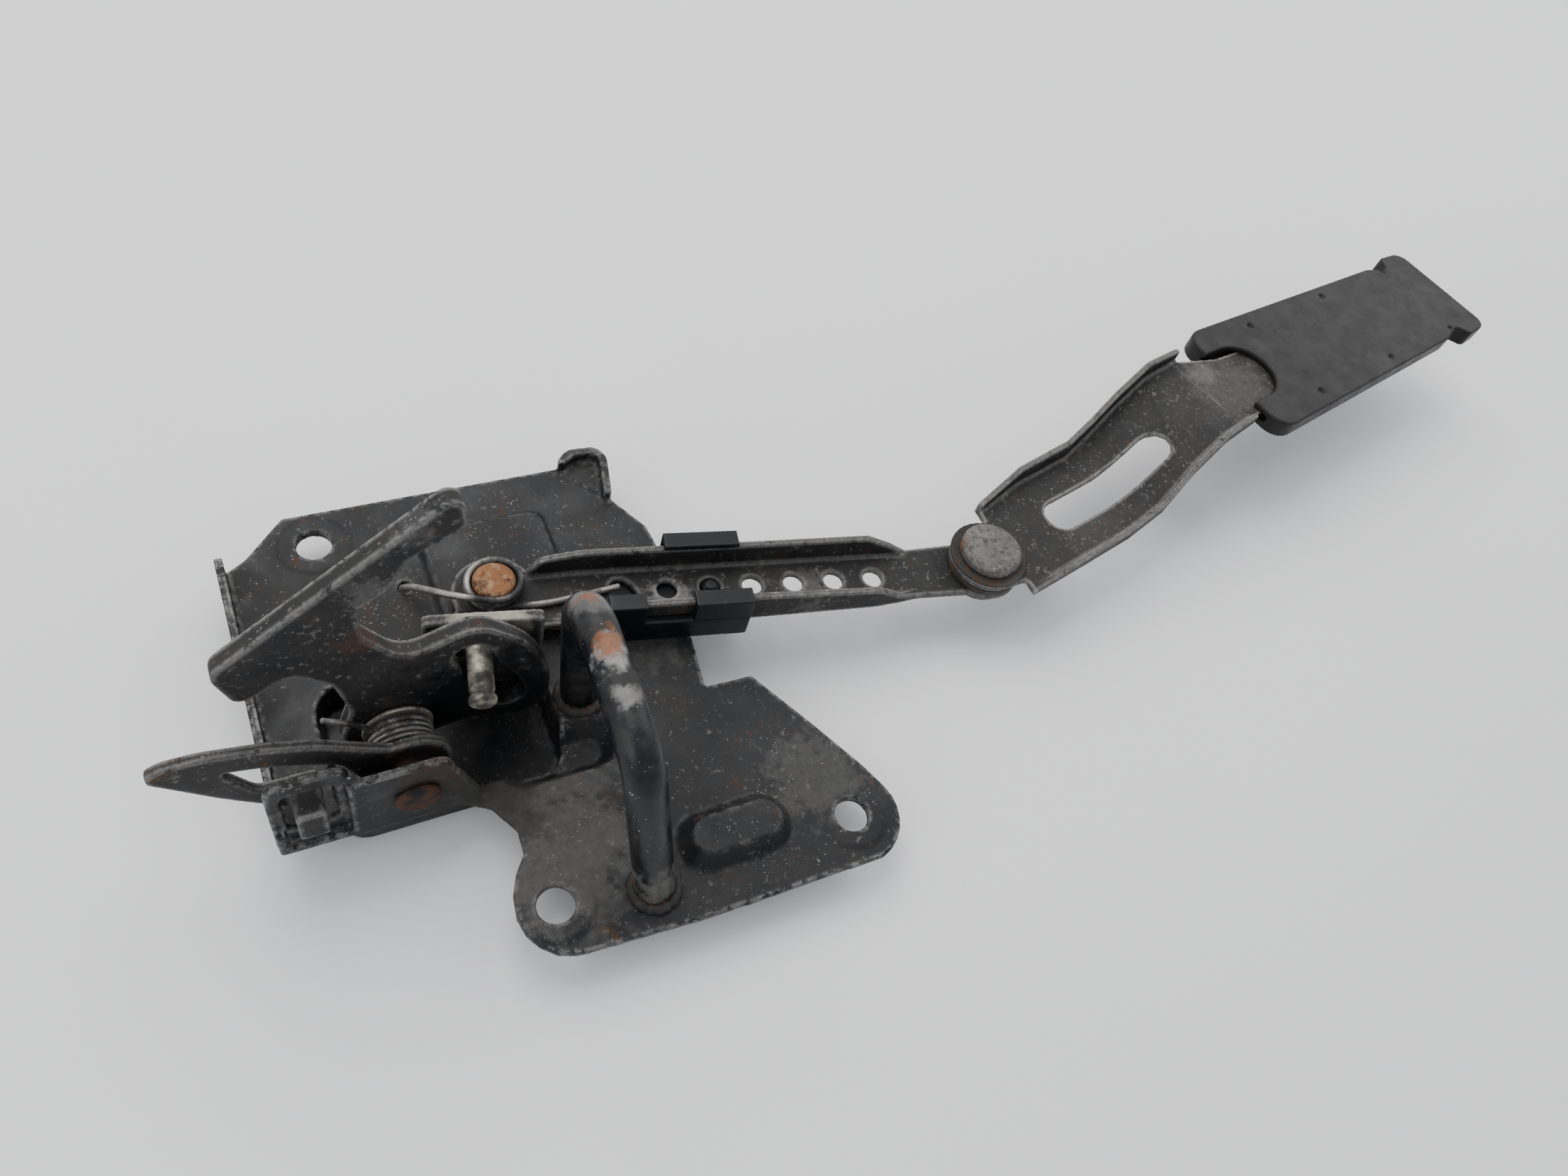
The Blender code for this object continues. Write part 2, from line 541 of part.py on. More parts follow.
def pull_strap(mat):
    """Perforated channel with a round eye at each end and an upright lug for the drive pin."""
    full = STRAP_FLANGE_H
    bare = SHEET + 0.05
    stations = ((4.0, STRAP_FAR_V - 1.4, -9.0, bare, bare), (8.2, STRAP_FAR_V - 1.2, -11.0, bare, bare),
                (12.0, STRAP_FAR_V - 1.0, -12.0, full - 2, bare),
                (16.0, STRAP_FAR_V - 0.8, STRAP_NEAR_V, full - 1, bare + 1),
                (24.0, STRAP_FAR_V - 0.4, STRAP_NEAR_V, full, full - 1),
                (70.0, STRAP_FAR_V, STRAP_NEAR_V, full, full),
                (106.0, STRAP_FAR_V + 0.4, STRAP_NEAR_V + 1.0, full, full - 2),
                (114.0, STRAP_FAR_V + 0.4, STRAP_NEAR_V + 2.0, full - 4, bare + 1),
                (120.0, STRAP_FAR_V + 0.2, STRAP_NEAR_V + 3.0, bare, bare),
                (STRAP_LENGTH - 4, STRAP_FAR_V + 1.6, -9.4, bare, bare))
    rings = [channel_section(u, far, near, a, b) for u, far, near, a, b in stations]
    strap = make_object("pull_strap", loft(rings), STRAP_FRAME, mat)
    fuse(strap, turned(((11.0, 0.0), (11.0, SHEET)), 32), STRAP_FRAME)
    fuse(strap, moved(turned(((11.3, 0.0), (11.3, SHEET)), 32), STRAP_LENGTH, 0, 0), STRAP_FRAME)
    web = rounded(((-18.6, LUG_BACK_V - LUG_THICK, 0), (9.4, LUG_BACK_V - LUG_THICK, 0),
                   (11.0, -16.0, 5.0), (10.0, -4.0, 0), (-9.0, -4.0, 0), (-18.6, -18.0, 5.0)))
    fuse(strap, slab(web, 0.0, SHEET), STRAP_FRAME)
    lug = rounded(((-18.6, 0.0, 0), (9.4, 0.0, 0), (9.4, LUG_TOP, 1.5), (-18.6, LUG_TOP, 1.5)), 3)
    fuse(strap, wall(lug, LUG_BACK_V - LUG_THICK, LUG_BACK_V), STRAP_FRAME)
    for hole_u in (0.0, STRAP_LENGTH):
        cut(strap, moved(turned(((3.4, -3.0), (3.4, 5.0)), 24), hole_u, 0, 0), STRAP_FRAME)
    centre_v = -2.4
    slot = capsule_chain(((33.2, centre_v + 1.4), (35.2, centre_v - 1.4)), STRAP_HOLE_R)
    cut(strap, slab(slot, -3.0, 5.0), STRAP_FRAME)
    for i in range(1, 7):
        hole_u = 34.0 + STRAP_HOLE_PITCH * i
        hole = moved(turned(((STRAP_HOLE_R, -3.0), (STRAP_HOLE_R, 5.0)), 20), hole_u, centre_v, 0)
        cut(strap, hole, STRAP_FRAME)
    pin_hole = along_y(turned(((DRIVE_PIN_R + GAP, -4.0), (DRIVE_PIN_R + GAP, 4.0)), 20))
    cut(strap, moved(pin_hole, DRIVE_PIN_U, LUG_BACK_V - LUG_THICK / 2, DRIVE_PIN_Z), STRAP_FRAME)
    return strap


def drive_pin(mat):
    """Headed pin that reaches from the lug through the hook's cam slot."""
    reach = 20.8
    profile = ((3.2, -2.0), (4.4, -1.4), (4.4, -GAP), (DRIVE_PIN_R, -GAP), (DRIVE_PIN_R, reach - 3.2),
               (2.5, reach - 2.7), (2.5, reach - 1.9), (3.3, reach - 1.4), (3.3, reach - 0.3),
               (2.9, reach))
    bm = moved(along_y(turned(profile, 20)), DRIVE_PIN_U, LUG_BACK_V, DRIVE_PIN_Z)
    return make_object("drive_pin", bm, STRAP_FRAME, mat)


def strap_rivet(mat):
    """Rivet that joins the strap to the plate, with the collar that the spring sits on."""
    profile = ((5.4, -5.2), (5.4, -3.6), (3.0, -3.6), (3.0, SHEET + GAP), (5.6, SHEET + GAP),
               (5.6, 6.8), (5.1, 7.4), (2.6, 7.7))
    return make_object("strap_rivet", turned(profile, 32), STRAP_FRAME, mat)


def strap_washer(mat):
    """Washer between the plate's raised seat and the strap."""
    low = 2.2 - STRAP_RIVET.z + GAP
    return make_object("strap_washer", ring_solid(3.05, 9.0, low, -GAP, 28), STRAP_FRAME, mat)


def strap_spring(mat):
    """Torsion spring round the rivet's collar; its legs reach to the plate and along the strap."""
    coil_r, wire_r = 7.0, 1.0
    low, high = SHEET + 1.3, SHEET + 5.3
    path = [(33.0, -1.6, low), (12.0, -6.6, low)]
    turns = 2.1
    steps = 42
    start_deg = -62.0
    for i in range(steps + 1):
        part = i / steps
        angle = math.radians(start_deg - 360.0 * turns * part)
        path.append((coil_r * math.cos(angle), coil_r * math.sin(angle), low + (high - low) * part))
    path += [(-12.5, -3.6, high - 1.0), (-20.4, 3.4, 1.4), (-23.0, 5.6, -2.8)]
    return make_object("strap_spring", rod(path, wire_r, 10), STRAP_FRAME, mat)


def guide_shoe(mat):
    """Moulded slide under the strap: it clips over both flanges and snaps through a hole."""
    low, under = -3.1, -GAP
    near_out, far_out = STRAP_NEAR_V - GAP - 2.4, STRAP_FAR_V + GAP + 2.2
    top = STRAP_FLANGE_H + GAP
    shoe = make_object("guide_shoe", slab(rectangle(28.0, 67.0, near_out, far_out, 1.0, 2), low, under),
                       STRAP_FRAME, mat)
    near_wall = rectangle(28.0, 67.0, near_out, STRAP_NEAR_V - GAP, 0.0, 1)
    fuse(shoe, slab(near_wall, low + 0.2, 4.6), STRAP_FRAME)
    for start, end in ((28.0, 38.0), (51.0, 67.0)):
        fuse(shoe, slab(rectangle(start, end, near_out + 0.1, STRAP_NEAR_V - GAP, 0.0, 1), 0.0, top),
             STRAP_FRAME)
        fuse(shoe, slab(rectangle(start, end, near_out + 0.1, STRAP_NEAR_V + 2.4, 0.0, 1), top, top + 1.6),
             STRAP_FRAME)
    fuse(shoe, slab(rectangle(45.4, 66.5, STRAP_FAR_V + GAP + 0.2, far_out - 0.1, 0.0, 1), -1.0, top),
         STRAP_FRAME)
    fuse(shoe, slab(rectangle(45.4, 66.5, STRAP_FAR_V - 2.6, far_out - 0.1, 0.0, 1), top, top + 1.6),
         STRAP_FRAME)
    stud = turned(((STRAP_HOLE_R - GAP, -1.0), (STRAP_HOLE_R - GAP, SHEET + 0.6), (1.6, SHEET + 1.4)), 16)
    fuse(shoe, moved(stud, 34.0 + 2 * STRAP_HOLE_PITCH, -2.4, 0), STRAP_FRAME)
    return shoe


def handle_rivet(mat):
    """Large headed rivet that the handle swings on."""
    lift = LINK_Z + SHEET - STRAP_RIVET.z
    profile = ((9.0, -3.4), (9.4, -3.0), (9.4, -1.0), (3.1, -1.0), (3.1, lift + 1.5),
               (9.3, lift + 1.5), (9.3, lift + 3.9), (8.7, lift + 4.5), (4.0, lift + 4.7))
    bm = moved(turned(profile, 36), STRAP_LENGTH, 0, 0)
    return make_object("handle_rivet", bm, STRAP_FRAME, mat)


def handle_ring(name, inner, outer, low, high, mat):
    """Flat ring on the handle's pivot, its height measured from the strap's underside."""
    bm = moved(ring_solid(inner, outer, low, high, 32), STRAP_LENGTH, 0, 0)
    return make_object(name, bm, STRAP_FRAME, mat)


# ---------------------------------------------------------------- handle

def link_lift(x):
    """Height of the link's underside above its eye, at the distance x from the pivot axis."""
    start, end = 58.0, 96.0
    part = min(max((x - start) / (end - start), 0.0), 1.0)
    return LINK_RISE * part * part * (3.0 - 2.0 * part)


def handle_link(mat):
    """Pressed link: eye, long slot, a rise towards the grip and a round end."""
    ox, oy = HANDLE_AXIS.x, HANDLE_AXIS.y
    far = ((186.0, -41.6), (204.5, -34.2), (227.0, -28.6), (241.0, -22.0), (253.0, -16.6),
           (266.5, -11.8), (282.5, -8.0))
    near = ((188.0, -75.0), (210.0, -70.0), (232.0, -64.8), (248.0, -60.0), (262.0, -53.4),
            (278.5, -46.9), (296.0, -41.5))
    far_tops = (5.0, 8.5, 9.0, 9.0, 9.0, 8.5, 6.0)
    near_tops = (2.2, 4.0, 4.6, 4.6, 4.6, 4.6, 4.0)
    rings = []
    for (fx, fy), (nx, ny), far_top, near_top in zip(far, near, far_tops, near_tops):
        across = (Vector((nx, ny)) - Vector((fx, fy))).normalized() * SHEET
        low_far, low_near = link_lift(fx - ox), link_lift(nx - ox)
        fx, fy, nx, ny = fx - ox, fy - oy, nx - ox, ny - oy
        rings.append([(fx, fy, low_far), (fx, fy, low_far + far_top),
                      (fx + across.x, fy + across.y, low_far + far_top),
                      (fx + across.x, fy + across.y, low_far + SHEET),
                      (nx - across.x, ny - across.y, low_near + SHEET),
                      (nx - across.x, ny - across.y, low_near + near_top),
                      (nx, ny, low_near + near_top), (nx, ny, low_near)])
    link = make_object("handle_link", loft(rings), HANDLE_FRAME, mat)
    eye = capsule_chain(((0.0, 0.0), (9.0, 0.6)), LINK_EYE_R, 12)
    fuse(link, slab(eye, 0.0, SHEET), HANDLE_FRAME)
    end_low = LINK_RISE
    tongue = rounded(((280.0 - ox, -10.5 - oy, 0), (300.0 - ox, -12.6 - oy, 6.0),
                      (340.0 - ox, -7.0 - oy, 4.0), (345.0 - ox, -27.0 - oy, 4.0),
                      (300.0 - ox, -39.0 - oy, 6.0), (290.0 - ox, -42.5 - oy, 0)))
    fuse(link, slab(tongue, end_low, end_low + SHEET), HANDLE_FRAME)
    slot = capsule_chain(((213.0 - ox, -51.2 - oy), (235.0 - ox, -46.0 - oy), (256.5 - ox, -38.8 - oy)),
                         5.5)
    cut(link, slab(slot, -5.0, 25.0), HANDLE_FRAME)
    cut(link, turned(((3.4, -3.0), (3.4, 5.0)), 24), HANDLE_FRAME)
    return link


def handle_grip(mat):
    """Flat moulded grip over the link's round end."""
    ox, oy = HANDLE_AXIS.x, HANDLE_AXIS.y
    place = (Matrix.Translation((303.0 - ox, -24.0 - oy, 0.0)) @ Matrix.Rotation(GRIP_ANGLE, 4, 'Z'))
    frame = HANDLE_FRAME @ place
    half, slim = GRIP_WIDTH / 2, GRIP_WIDTH / 2 - 4.0
    low = LINK_RISE - 2.2
    outline = rounded(((-6.0, half, 7.0), (GRIP_LENGTH - 12.0, slim + 0.5, 5.0),
                       (GRIP_LENGTH - 2.0, slim - 3.0, 2.0), (GRIP_LENGTH + 1.0, slim + 3.0, 2.5),
                       (GRIP_LENGTH + 14.0, slim + 2.0, 5.0), (GRIP_LENGTH + 14.0, -slim - 2.0, 5.0),
                       (GRIP_LENGTH + 1.0, -slim - 3.0, 2.5), (GRIP_LENGTH - 2.0, -slim + 2.5, 2.0),
                       (GRIP_LENGTH - 12.0, -slim - 0.5, 5.0), (-6.0, -half, 7.0)))
    grip = make_object("handle_grip", slab(outline, low, low + GRIP_THICK), frame, mat)
    window = capsule_chain(((-22.0, 1.5), (2.0, 1.5)), 12.0, 12)
    cut(grip, slab(window, LINK_RISE - GAP, low + GRIP_THICK + 2.0), frame)
    tongue = rounded(((-30.0, 19.0, 0), (0.0, 13.4, 0), (41.5, 10.4, 3.0), (41.5, -12.4, 3.0),
                      (0.0, -15.6, 0), (-30.0, -24.0, 0)))
    cut(grip, slab(tongue, LINK_RISE - GAP, LINK_RISE + SHEET + GAP), frame)
    return grip


def build():
    """Make every piece."""
    clear_scene()
    black = material("worn_black_steel", BLACK_STEEL, 0.6, 0.4)
    dusty = material("dusty_black_steel", DUSTY_STEEL, 0.7, 0.3)
    zinc = material("zinc_steel", ZINC, 0.45, 0.8)
    rust = material("rusty_steel", RUST, 0.85, 0.2)
    spring = material("spring_steel", SPRING_STEEL, 0.35, 0.9)
    plastic = material("black_plastic", BLACK_PLASTIC, 0.5, 0.0)
    base_plate(dusty)
    striker_bow(black)
    hook_pivot_pin(rust)
    pin_washer(zinc)
    spring_sleeve(zinc)
    hook_spring(spring)
    guide_horn(dusty)
    safety_hook(black)
    hook_bush(zinc)
    pull_strap(dusty)
    drive_pin(zinc)
    strap_rivet(rust)
    strap_washer(zinc)
    strap_spring(spring)
    guide_shoe(plastic)
    handle_rivet(zinc)
    lift = LINK_Z - STRAP_RIVET.z
    handle_ring("handle_spacer", 3.2, 11.4, SHEET + GAP, lift - GAP, black)
    handle_ring("handle_top_washer", 3.2, 11.9, lift + SHEET + GAP, lift + SHEET + 1.2, zinc)
    handle_link(dusty)
    handle_grip(plastic)


build()
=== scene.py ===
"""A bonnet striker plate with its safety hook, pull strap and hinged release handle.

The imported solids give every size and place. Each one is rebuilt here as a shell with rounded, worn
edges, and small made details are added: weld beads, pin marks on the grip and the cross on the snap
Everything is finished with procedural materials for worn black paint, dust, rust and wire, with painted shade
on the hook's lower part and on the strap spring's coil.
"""
import json
import logging
import math
from dataclasses import dataclass
from enum import Enum
from typing import Iterable, Sequence

import bmesh
import bpy
from mathutils import Matrix, Vector, noise

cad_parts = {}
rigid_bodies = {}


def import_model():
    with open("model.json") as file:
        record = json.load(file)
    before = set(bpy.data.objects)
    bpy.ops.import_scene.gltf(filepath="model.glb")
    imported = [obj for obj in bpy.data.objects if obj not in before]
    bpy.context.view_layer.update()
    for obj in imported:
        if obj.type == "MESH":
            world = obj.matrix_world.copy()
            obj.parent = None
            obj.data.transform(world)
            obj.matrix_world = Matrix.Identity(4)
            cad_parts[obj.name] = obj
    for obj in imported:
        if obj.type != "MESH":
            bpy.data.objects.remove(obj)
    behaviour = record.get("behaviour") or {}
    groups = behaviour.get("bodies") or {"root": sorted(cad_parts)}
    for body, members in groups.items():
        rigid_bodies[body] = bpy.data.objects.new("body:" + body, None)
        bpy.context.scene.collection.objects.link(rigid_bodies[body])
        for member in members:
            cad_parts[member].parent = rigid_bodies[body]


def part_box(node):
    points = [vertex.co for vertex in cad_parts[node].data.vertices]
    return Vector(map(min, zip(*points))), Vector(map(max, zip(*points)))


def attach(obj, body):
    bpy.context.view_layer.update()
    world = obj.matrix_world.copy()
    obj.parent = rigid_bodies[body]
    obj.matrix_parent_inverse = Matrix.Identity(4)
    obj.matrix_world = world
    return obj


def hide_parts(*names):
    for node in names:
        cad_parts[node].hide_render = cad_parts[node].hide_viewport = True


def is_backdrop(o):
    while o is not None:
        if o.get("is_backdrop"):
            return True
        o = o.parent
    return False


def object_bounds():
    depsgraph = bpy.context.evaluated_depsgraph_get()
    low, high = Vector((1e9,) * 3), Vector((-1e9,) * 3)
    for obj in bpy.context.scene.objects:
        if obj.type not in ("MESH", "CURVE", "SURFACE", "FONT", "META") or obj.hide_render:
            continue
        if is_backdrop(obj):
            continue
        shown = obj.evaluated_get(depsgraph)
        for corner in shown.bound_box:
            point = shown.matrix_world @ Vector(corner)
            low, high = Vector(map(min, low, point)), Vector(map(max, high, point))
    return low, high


LOG = logging.getLogger("striker_plate")
MM = 0.001
FLOOR_GAP = 0.2 * MM            # keeps the floor just clear of the part
SHARP_RIM = math.radians(55.0)  # a bar's rim is sharp above this angle
RIM_CREASE = 0.85               # how firmly such a rim is held
RUB_FACTOR = 0.5                # how far each pass of rubbing moves a point
BUMP_STRENGTH = 0.8
GROUND_SCALE = 45.0             # patches where the ground colour drifts to its tint
GLOSS_SCALE = 130.0             # patches where the ground turns duller
GLOSS_DRIFT = 0.14              # by how much
SHADE_FINER = 2.3               # a coat's own shading is finer than its patches
SHADE_DEPTH = 0.62              # and this dark where it is darkest

Colour = tuple[float, float, float]
Point = tuple[float, float, float]


class Coat(Enum):
    """How a layer lies on the surface."""

    CLOUD = "cloud"      # soft drifting patches, such as dust
    SPECK = "speck"      # small scattered grains
    EDGE = "edge"        # along outer edges, where paint rubs off
    SPOT = "spot"        # one ragged patch at a given place
    UPWARD = "upward"    # on faces that look up, such as settled dust


class Form(Enum):
    """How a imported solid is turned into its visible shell."""

    SHEET = "sheet"      # flat pressed metal or a moulding: rounded edges
    BAR = "bar"          # a swept round bar or wire: subdivided


# ---------------------------------------------------------------- node graphs

class Graph:
    """A thin layer over a node tree that places nodes and joins their sockets."""

    def __init__(self, tree: bpy.types.NodeTree) -> None:
        """Start on a tree.

        Args:
            tree: The node tree to add to.
        """
        self.tree = tree
        self.count = 0

    def node(self, kind: str, **values: object) -> bpy.types.Node:
        """Add a node and set its plain properties.

        Args:
            kind: The node's type name.
            **values: Properties to set on it.

        Returns:
            The new node.
        """
        made = self.tree.nodes.new(kind)
        made.location = (180 * (self.count % 9), -220 * (self.count // 9))
        self.count += 1
        for name, value in values.items():
            setattr(made, name, value)
        return made

    def put(self, socket: bpy.types.NodeSocket, value: object) -> None:
        """Feed a socket from another socket or set it to a constant.

        Args:
            socket: The input socket.
            value: An output socket, a number or a tuple.
        """
        if isinstance(value, bpy.types.NodeSocket):
            self.tree.links.new(value, socket)
        elif isinstance(value, tuple) and len(value) == 3 and socket.type == 'RGBA':
            socket.default_value = (*value, 1.0)
        else:
            socket.default_value = value

    def math(self, operation: str, first: object, second: object = 0.0) -> bpy.types.NodeSocket:
        """Return the result of a maths node, kept between 0 and 1."""
        made = self.node("ShaderNodeMath", operation=operation, use_clamp=True)
        self.put(made.inputs[0], first)
        self.put(made.inputs[1], second)
        return made.outputs[0]

    def ramp(self, value: object, low: object, high: object,
             smooth: bool = True) -> bpy.types.NodeSocket:
        """Map a value from low..high to 0..1.

        Args:
            value: The value to map.
            low: What becomes 0.
            high: What becomes 1.
            smooth: Whether the ends are eased.

        Returns:
            The mapped value's socket.
        """
        made = self.node("ShaderNodeMapRange", clamp=True)
        made.interpolation_type = 'SMOOTHSTEP' if smooth else 'LINEAR'
        self.put(made.inputs["Value"], value)
        self.put(made.inputs["From Min"], low)
        self.put(made.inputs["From Max"], high)
        return made.outputs["Result"]

    def blend_colour(self, factor: object, below: object, above: object) -> bpy.types.NodeSocket:
        """Return the colour above laid over the colour below by factor."""
        made = self.node("ShaderNodeMix", data_type='RGBA')
        self.put(made.inputs[0], factor)
        self.put(made.inputs[6], below)
        self.put(made.inputs[7], above)
        return made.outputs[2]

    def blend_value(self, factor: object, below: object, above: object) -> bpy.types.NodeSocket:
        """Return the value above laid over the value below by factor."""
        made = self.node("ShaderNodeMix", data_type='FLOAT')
        self.put(made.inputs[0], factor)
        self.put(made.inputs[2], below)
        self.put(made.inputs[3], above)
        return made.outputs[0]

    def noise(self, place: object, scale: object, detail: float, rough: float = 0.6) -> bpy.types.NodeSocket:
        """Return a fractal noise value.

        Args:
            place: The coordinates' socket.
            scale: The noise's scale.
            detail: How many octaves it has.
            rough: How strong its fine octaves are.

        Returns:
            The noise's value socket.
        """
        made = self.node("ShaderNodeTexNoise")
        self.put(made.inputs["Vector"], place)
        self.put(made.inputs["Scale"], scale)
        made.inputs["Detail"].default_value = detail
        made.inputs["Roughness"].default_value = rough
        return made.outputs[0]


class EffectLibrary:
    """The shader node groups that all finishes share, each built once."""

    def __init__(self) -> None:
        """Build the groups."""
        self.groups = {
            Coat.CLOUD: self.cloud(),
            Coat.SPECK: self.speck(),
            Coat.EDGE: self.edge(),
            Coat.SPOT: self.spot(),
            Coat.UPWARD: self.upward(),
        }
        self.relief = self.surface_relief()

    @staticmethod
    def start(name: str, floats: Sequence[tuple[str, float]], vector: str = "",
              output: str = "Mask") -> tuple[Graph, bpy.types.Node, bpy.types.Node]:
        """Open a new group with number inputs and one output.

        Args:
            name: The group's name.
            floats: The inputs' names and default values.
            vector: The name of a vector input, if there is one.
            output: The output's name.

        Returns:
            The graph, the group's input node and its output node.
        """
        tree = bpy.data.node_groups.new(name, 'ShaderNodeTree')
        for label, value in floats:
            socket = tree.interface.new_socket(label, in_out='INPUT', socket_type='NodeSocketFloat')
            socket.default_value = value
        if vector:
            tree.interface.new_socket(vector, in_out='INPUT', socket_type='NodeSocketVector')
        tree.interface.new_socket(output, in_out='OUTPUT', socket_type='NodeSocketFloat')
        graph = Graph(tree)
        return graph, graph.node("NodeGroupInput"), graph.node("NodeGroupOutput")

    def cloud(self) -> bpy.types.NodeTree:
        """Build soft patches that cover a share of the surface."""
        inputs = (("Scale", 60.0), ("Cover", 0.5), ("Softness", 0.12), ("Strength", 1.0))
        graph, given, out = self.start("dust_cloud", inputs)
        place = graph.node("ShaderNodeTexCoord").outputs["Object"]
        value = graph.noise(place, given.outputs["Scale"], 7.0, 0.62)
        level = graph.node("ShaderNodeMapRange", clamp=True)
        graph.put(level.inputs["Value"], given.outputs["Cover"])
        level.inputs["To Min"].default_value = 0.72
        level.inputs["To Max"].default_value = 0.28
        middle = level.outputs["Result"]
        low = graph.math('SUBTRACT', middle, given.outputs["Softness"])
        high = graph.math('ADD', middle, given.outputs["Softness"])
        mask = graph.ramp(value, low, high)
        graph.put(out.inputs["Mask"], graph.math('MULTIPLY', mask, given.outputs["Strength"]))
        return graph.tree

    def speck(self) -> bpy.types.NodeTree:
        """Build small scattered grains of uneven size."""
        inputs = (("Scale", 900.0), ("Cover", 0.2), ("Softness", 0.05), ("Strength", 1.0))
        graph, given, out = self.start("grain_specks", inputs)
        place = graph.node("ShaderNodeTexCoord").outputs["Object"]
        cells = graph.node("ShaderNodeTexVoronoi")
        graph.put(cells.inputs["Vector"], place)
        graph.put(cells.inputs["Scale"], given.outputs["Scale"])
        size = graph.noise(place, 160.0, 4.0)
        reach = graph.math('MULTIPLY', given.outputs["Cover"], graph.ramp(size, 0.35, 0.75))
        low = graph.math('SUBTRACT', reach, given.outputs["Softness"])
        mask = graph.ramp(cells.outputs["Distance"], reach, low)
        graph.put(out.inputs["Mask"], graph.math('MULTIPLY', mask, given.outputs["Strength"]))
        return graph.tree

    def edge(self) -> bpy.types.NodeTree:
        """Build broken lines of wear along the outer edges."""
        inputs = (("Scale", 300.0), ("Cover", 0.5), ("Softness", 0.2), ("Strength", 1.0))
        graph, given, out = self.start("edge_wear", inputs)
        place = graph.node("ShaderNodeTexCoord").outputs["Object"]
        rounded = graph.node("ShaderNodeBevel", samples=6)
        rounded.inputs["Radius"].default_value = 1.9 * MM
        flat = graph.node("ShaderNodeNewGeometry")
        turn = graph.node("ShaderNodeVectorMath", operation='DOT_PRODUCT')
        graph.put(turn.inputs[0], rounded.outputs["Normal"])
        graph.put(turn.inputs[1], flat.outputs["Normal"])
        bend = graph.math('SUBTRACT', 1.0, turn.outputs["Value"])
        lip = graph.ramp(bend, 0.006, 0.085)
        value = graph.noise(place, given.outputs["Scale"], 6.0, 0.7)
        middle = graph.math('SUBTRACT', 1.0, given.outputs["Cover"])
        low = graph.math('SUBTRACT', middle, given.outputs["Softness"])
        high = graph.math('ADD', middle, given.outputs["Softness"])
        broken = graph.ramp(value, low, high)
        mask = graph.math('MULTIPLY', lip, broken)
        graph.put(out.inputs["Mask"], graph.math('MULTIPLY', mask, given.outputs["Strength"]))
        return graph.tree

    def spot(self) -> bpy.types.NodeTree:
        """Build one ragged patch round a centre."""
        inputs = (("Scale", 140.0), ("Cover", 0.01), ("Softness", 0.5), ("Strength", 1.0), ("Grit", 0.6))
        graph, given, out = self.start("ragged_spot", inputs, vector="Centre")
        place = graph.node("ShaderNodeTexCoord").outputs["Object"]
        away = graph.node("ShaderNodeVectorMath", operation='DISTANCE')
        graph.put(away.inputs[0], place)
        graph.put(away.inputs[1], given.outputs["Centre"])
        ratio = graph.node("ShaderNodeMath", operation='DIVIDE')
        graph.put(ratio.inputs[0], away.outputs["Value"])
        graph.put(ratio.inputs[1], given.outputs["Cover"])
        value = graph.noise(place, given.outputs["Scale"], 6.0, 0.68)
        swing = graph.node("ShaderNodeMapRange", clamp=True)
        graph.put(swing.inputs["Value"], value)
        swing.inputs["From Min"].default_value = 0.3
        swing.inputs["From Max"].default_value = 0.7
        swing.inputs["To Min"].default_value = 0.35
        swing.inputs["To Max"].default_value = 1.25
        inner = graph.math('MULTIPLY', swing.outputs["Result"], given.outputs["Softness"])
        ragged = graph.node("ShaderNodeMapRange", clamp=True, interpolation_type='SMOOTHSTEP')
        graph.put(ragged.inputs["Value"], ratio.outputs[0])
        graph.put(ragged.inputs["From Min"], swing.outputs["Result"])
        graph.put(ragged.inputs["From Max"], inner)
        fine = graph.noise(place, graph.math('MULTIPLY', given.outputs["Scale"], 4.5), 5.0, 0.7)
        broken = graph.blend_value(given.outputs["Grit"], 1.0, graph.ramp(fine, 0.43, 0.58))
        mask = graph.math('MULTIPLY', ragged.outputs["Result"], broken)
        graph.put(out.inputs["Mask"], graph.math('MULTIPLY', mask, given.outputs["Strength"]))
        return graph.tree

    def upward(self) -> bpy.types.NodeTree:
        """Build uneven cover on the faces that look up."""
        inputs = (("Scale", 90.0), ("Cover", 0.5), ("Softness", 0.2), ("Strength", 1.0))
        graph, given, out = self.start("settled_dust", inputs)
        place = graph.node("ShaderNodeTexCoord").outputs["Object"]
        split = graph.node("ShaderNodeSeparateXYZ")
        graph.put(split.inputs[0], graph.node("ShaderNodeNewGeometry").outputs["Normal"])
        facing = graph.ramp(split.outputs["Z"], 0.3, 0.9)
        value = graph.noise(place, given.outputs["Scale"], 7.0, 0.66)
        middle = graph.math('SUBTRACT', 1.0, given.outputs["Cover"])
        low = graph.math('SUBTRACT', middle, given.outputs["Softness"])
        high = graph.math('ADD', middle, given.outputs["Softness"])
        mask = graph.math('MULTIPLY', facing, graph.ramp(value, low, high))
        graph.put(out.inputs["Mask"], graph.math('MULTIPLY', mask, given.outputs["Strength"]))
        return graph.tree

    def surface_relief(self) -> bpy.types.NodeTree:
        """Build the height of pitted, orange-peeled paint."""
        inputs = (("Wave", 220.0), ("Grain", 1400.0), ("Mix", 0.5))
        graph, given, out = self.start("paint_relief", inputs, output="Height")
        place = graph.node("ShaderNodeTexCoord").outputs["Object"]
        wave = graph.noise(place, given.outputs["Wave"], 4.0, 0.55)
        grain = graph.noise(place, given.outputs["Grain"], 3.0, 0.7)
        graph.put(out.inputs["Height"], graph.blend_value(given.outputs["Mix"], wave, grain))
        return graph.tree


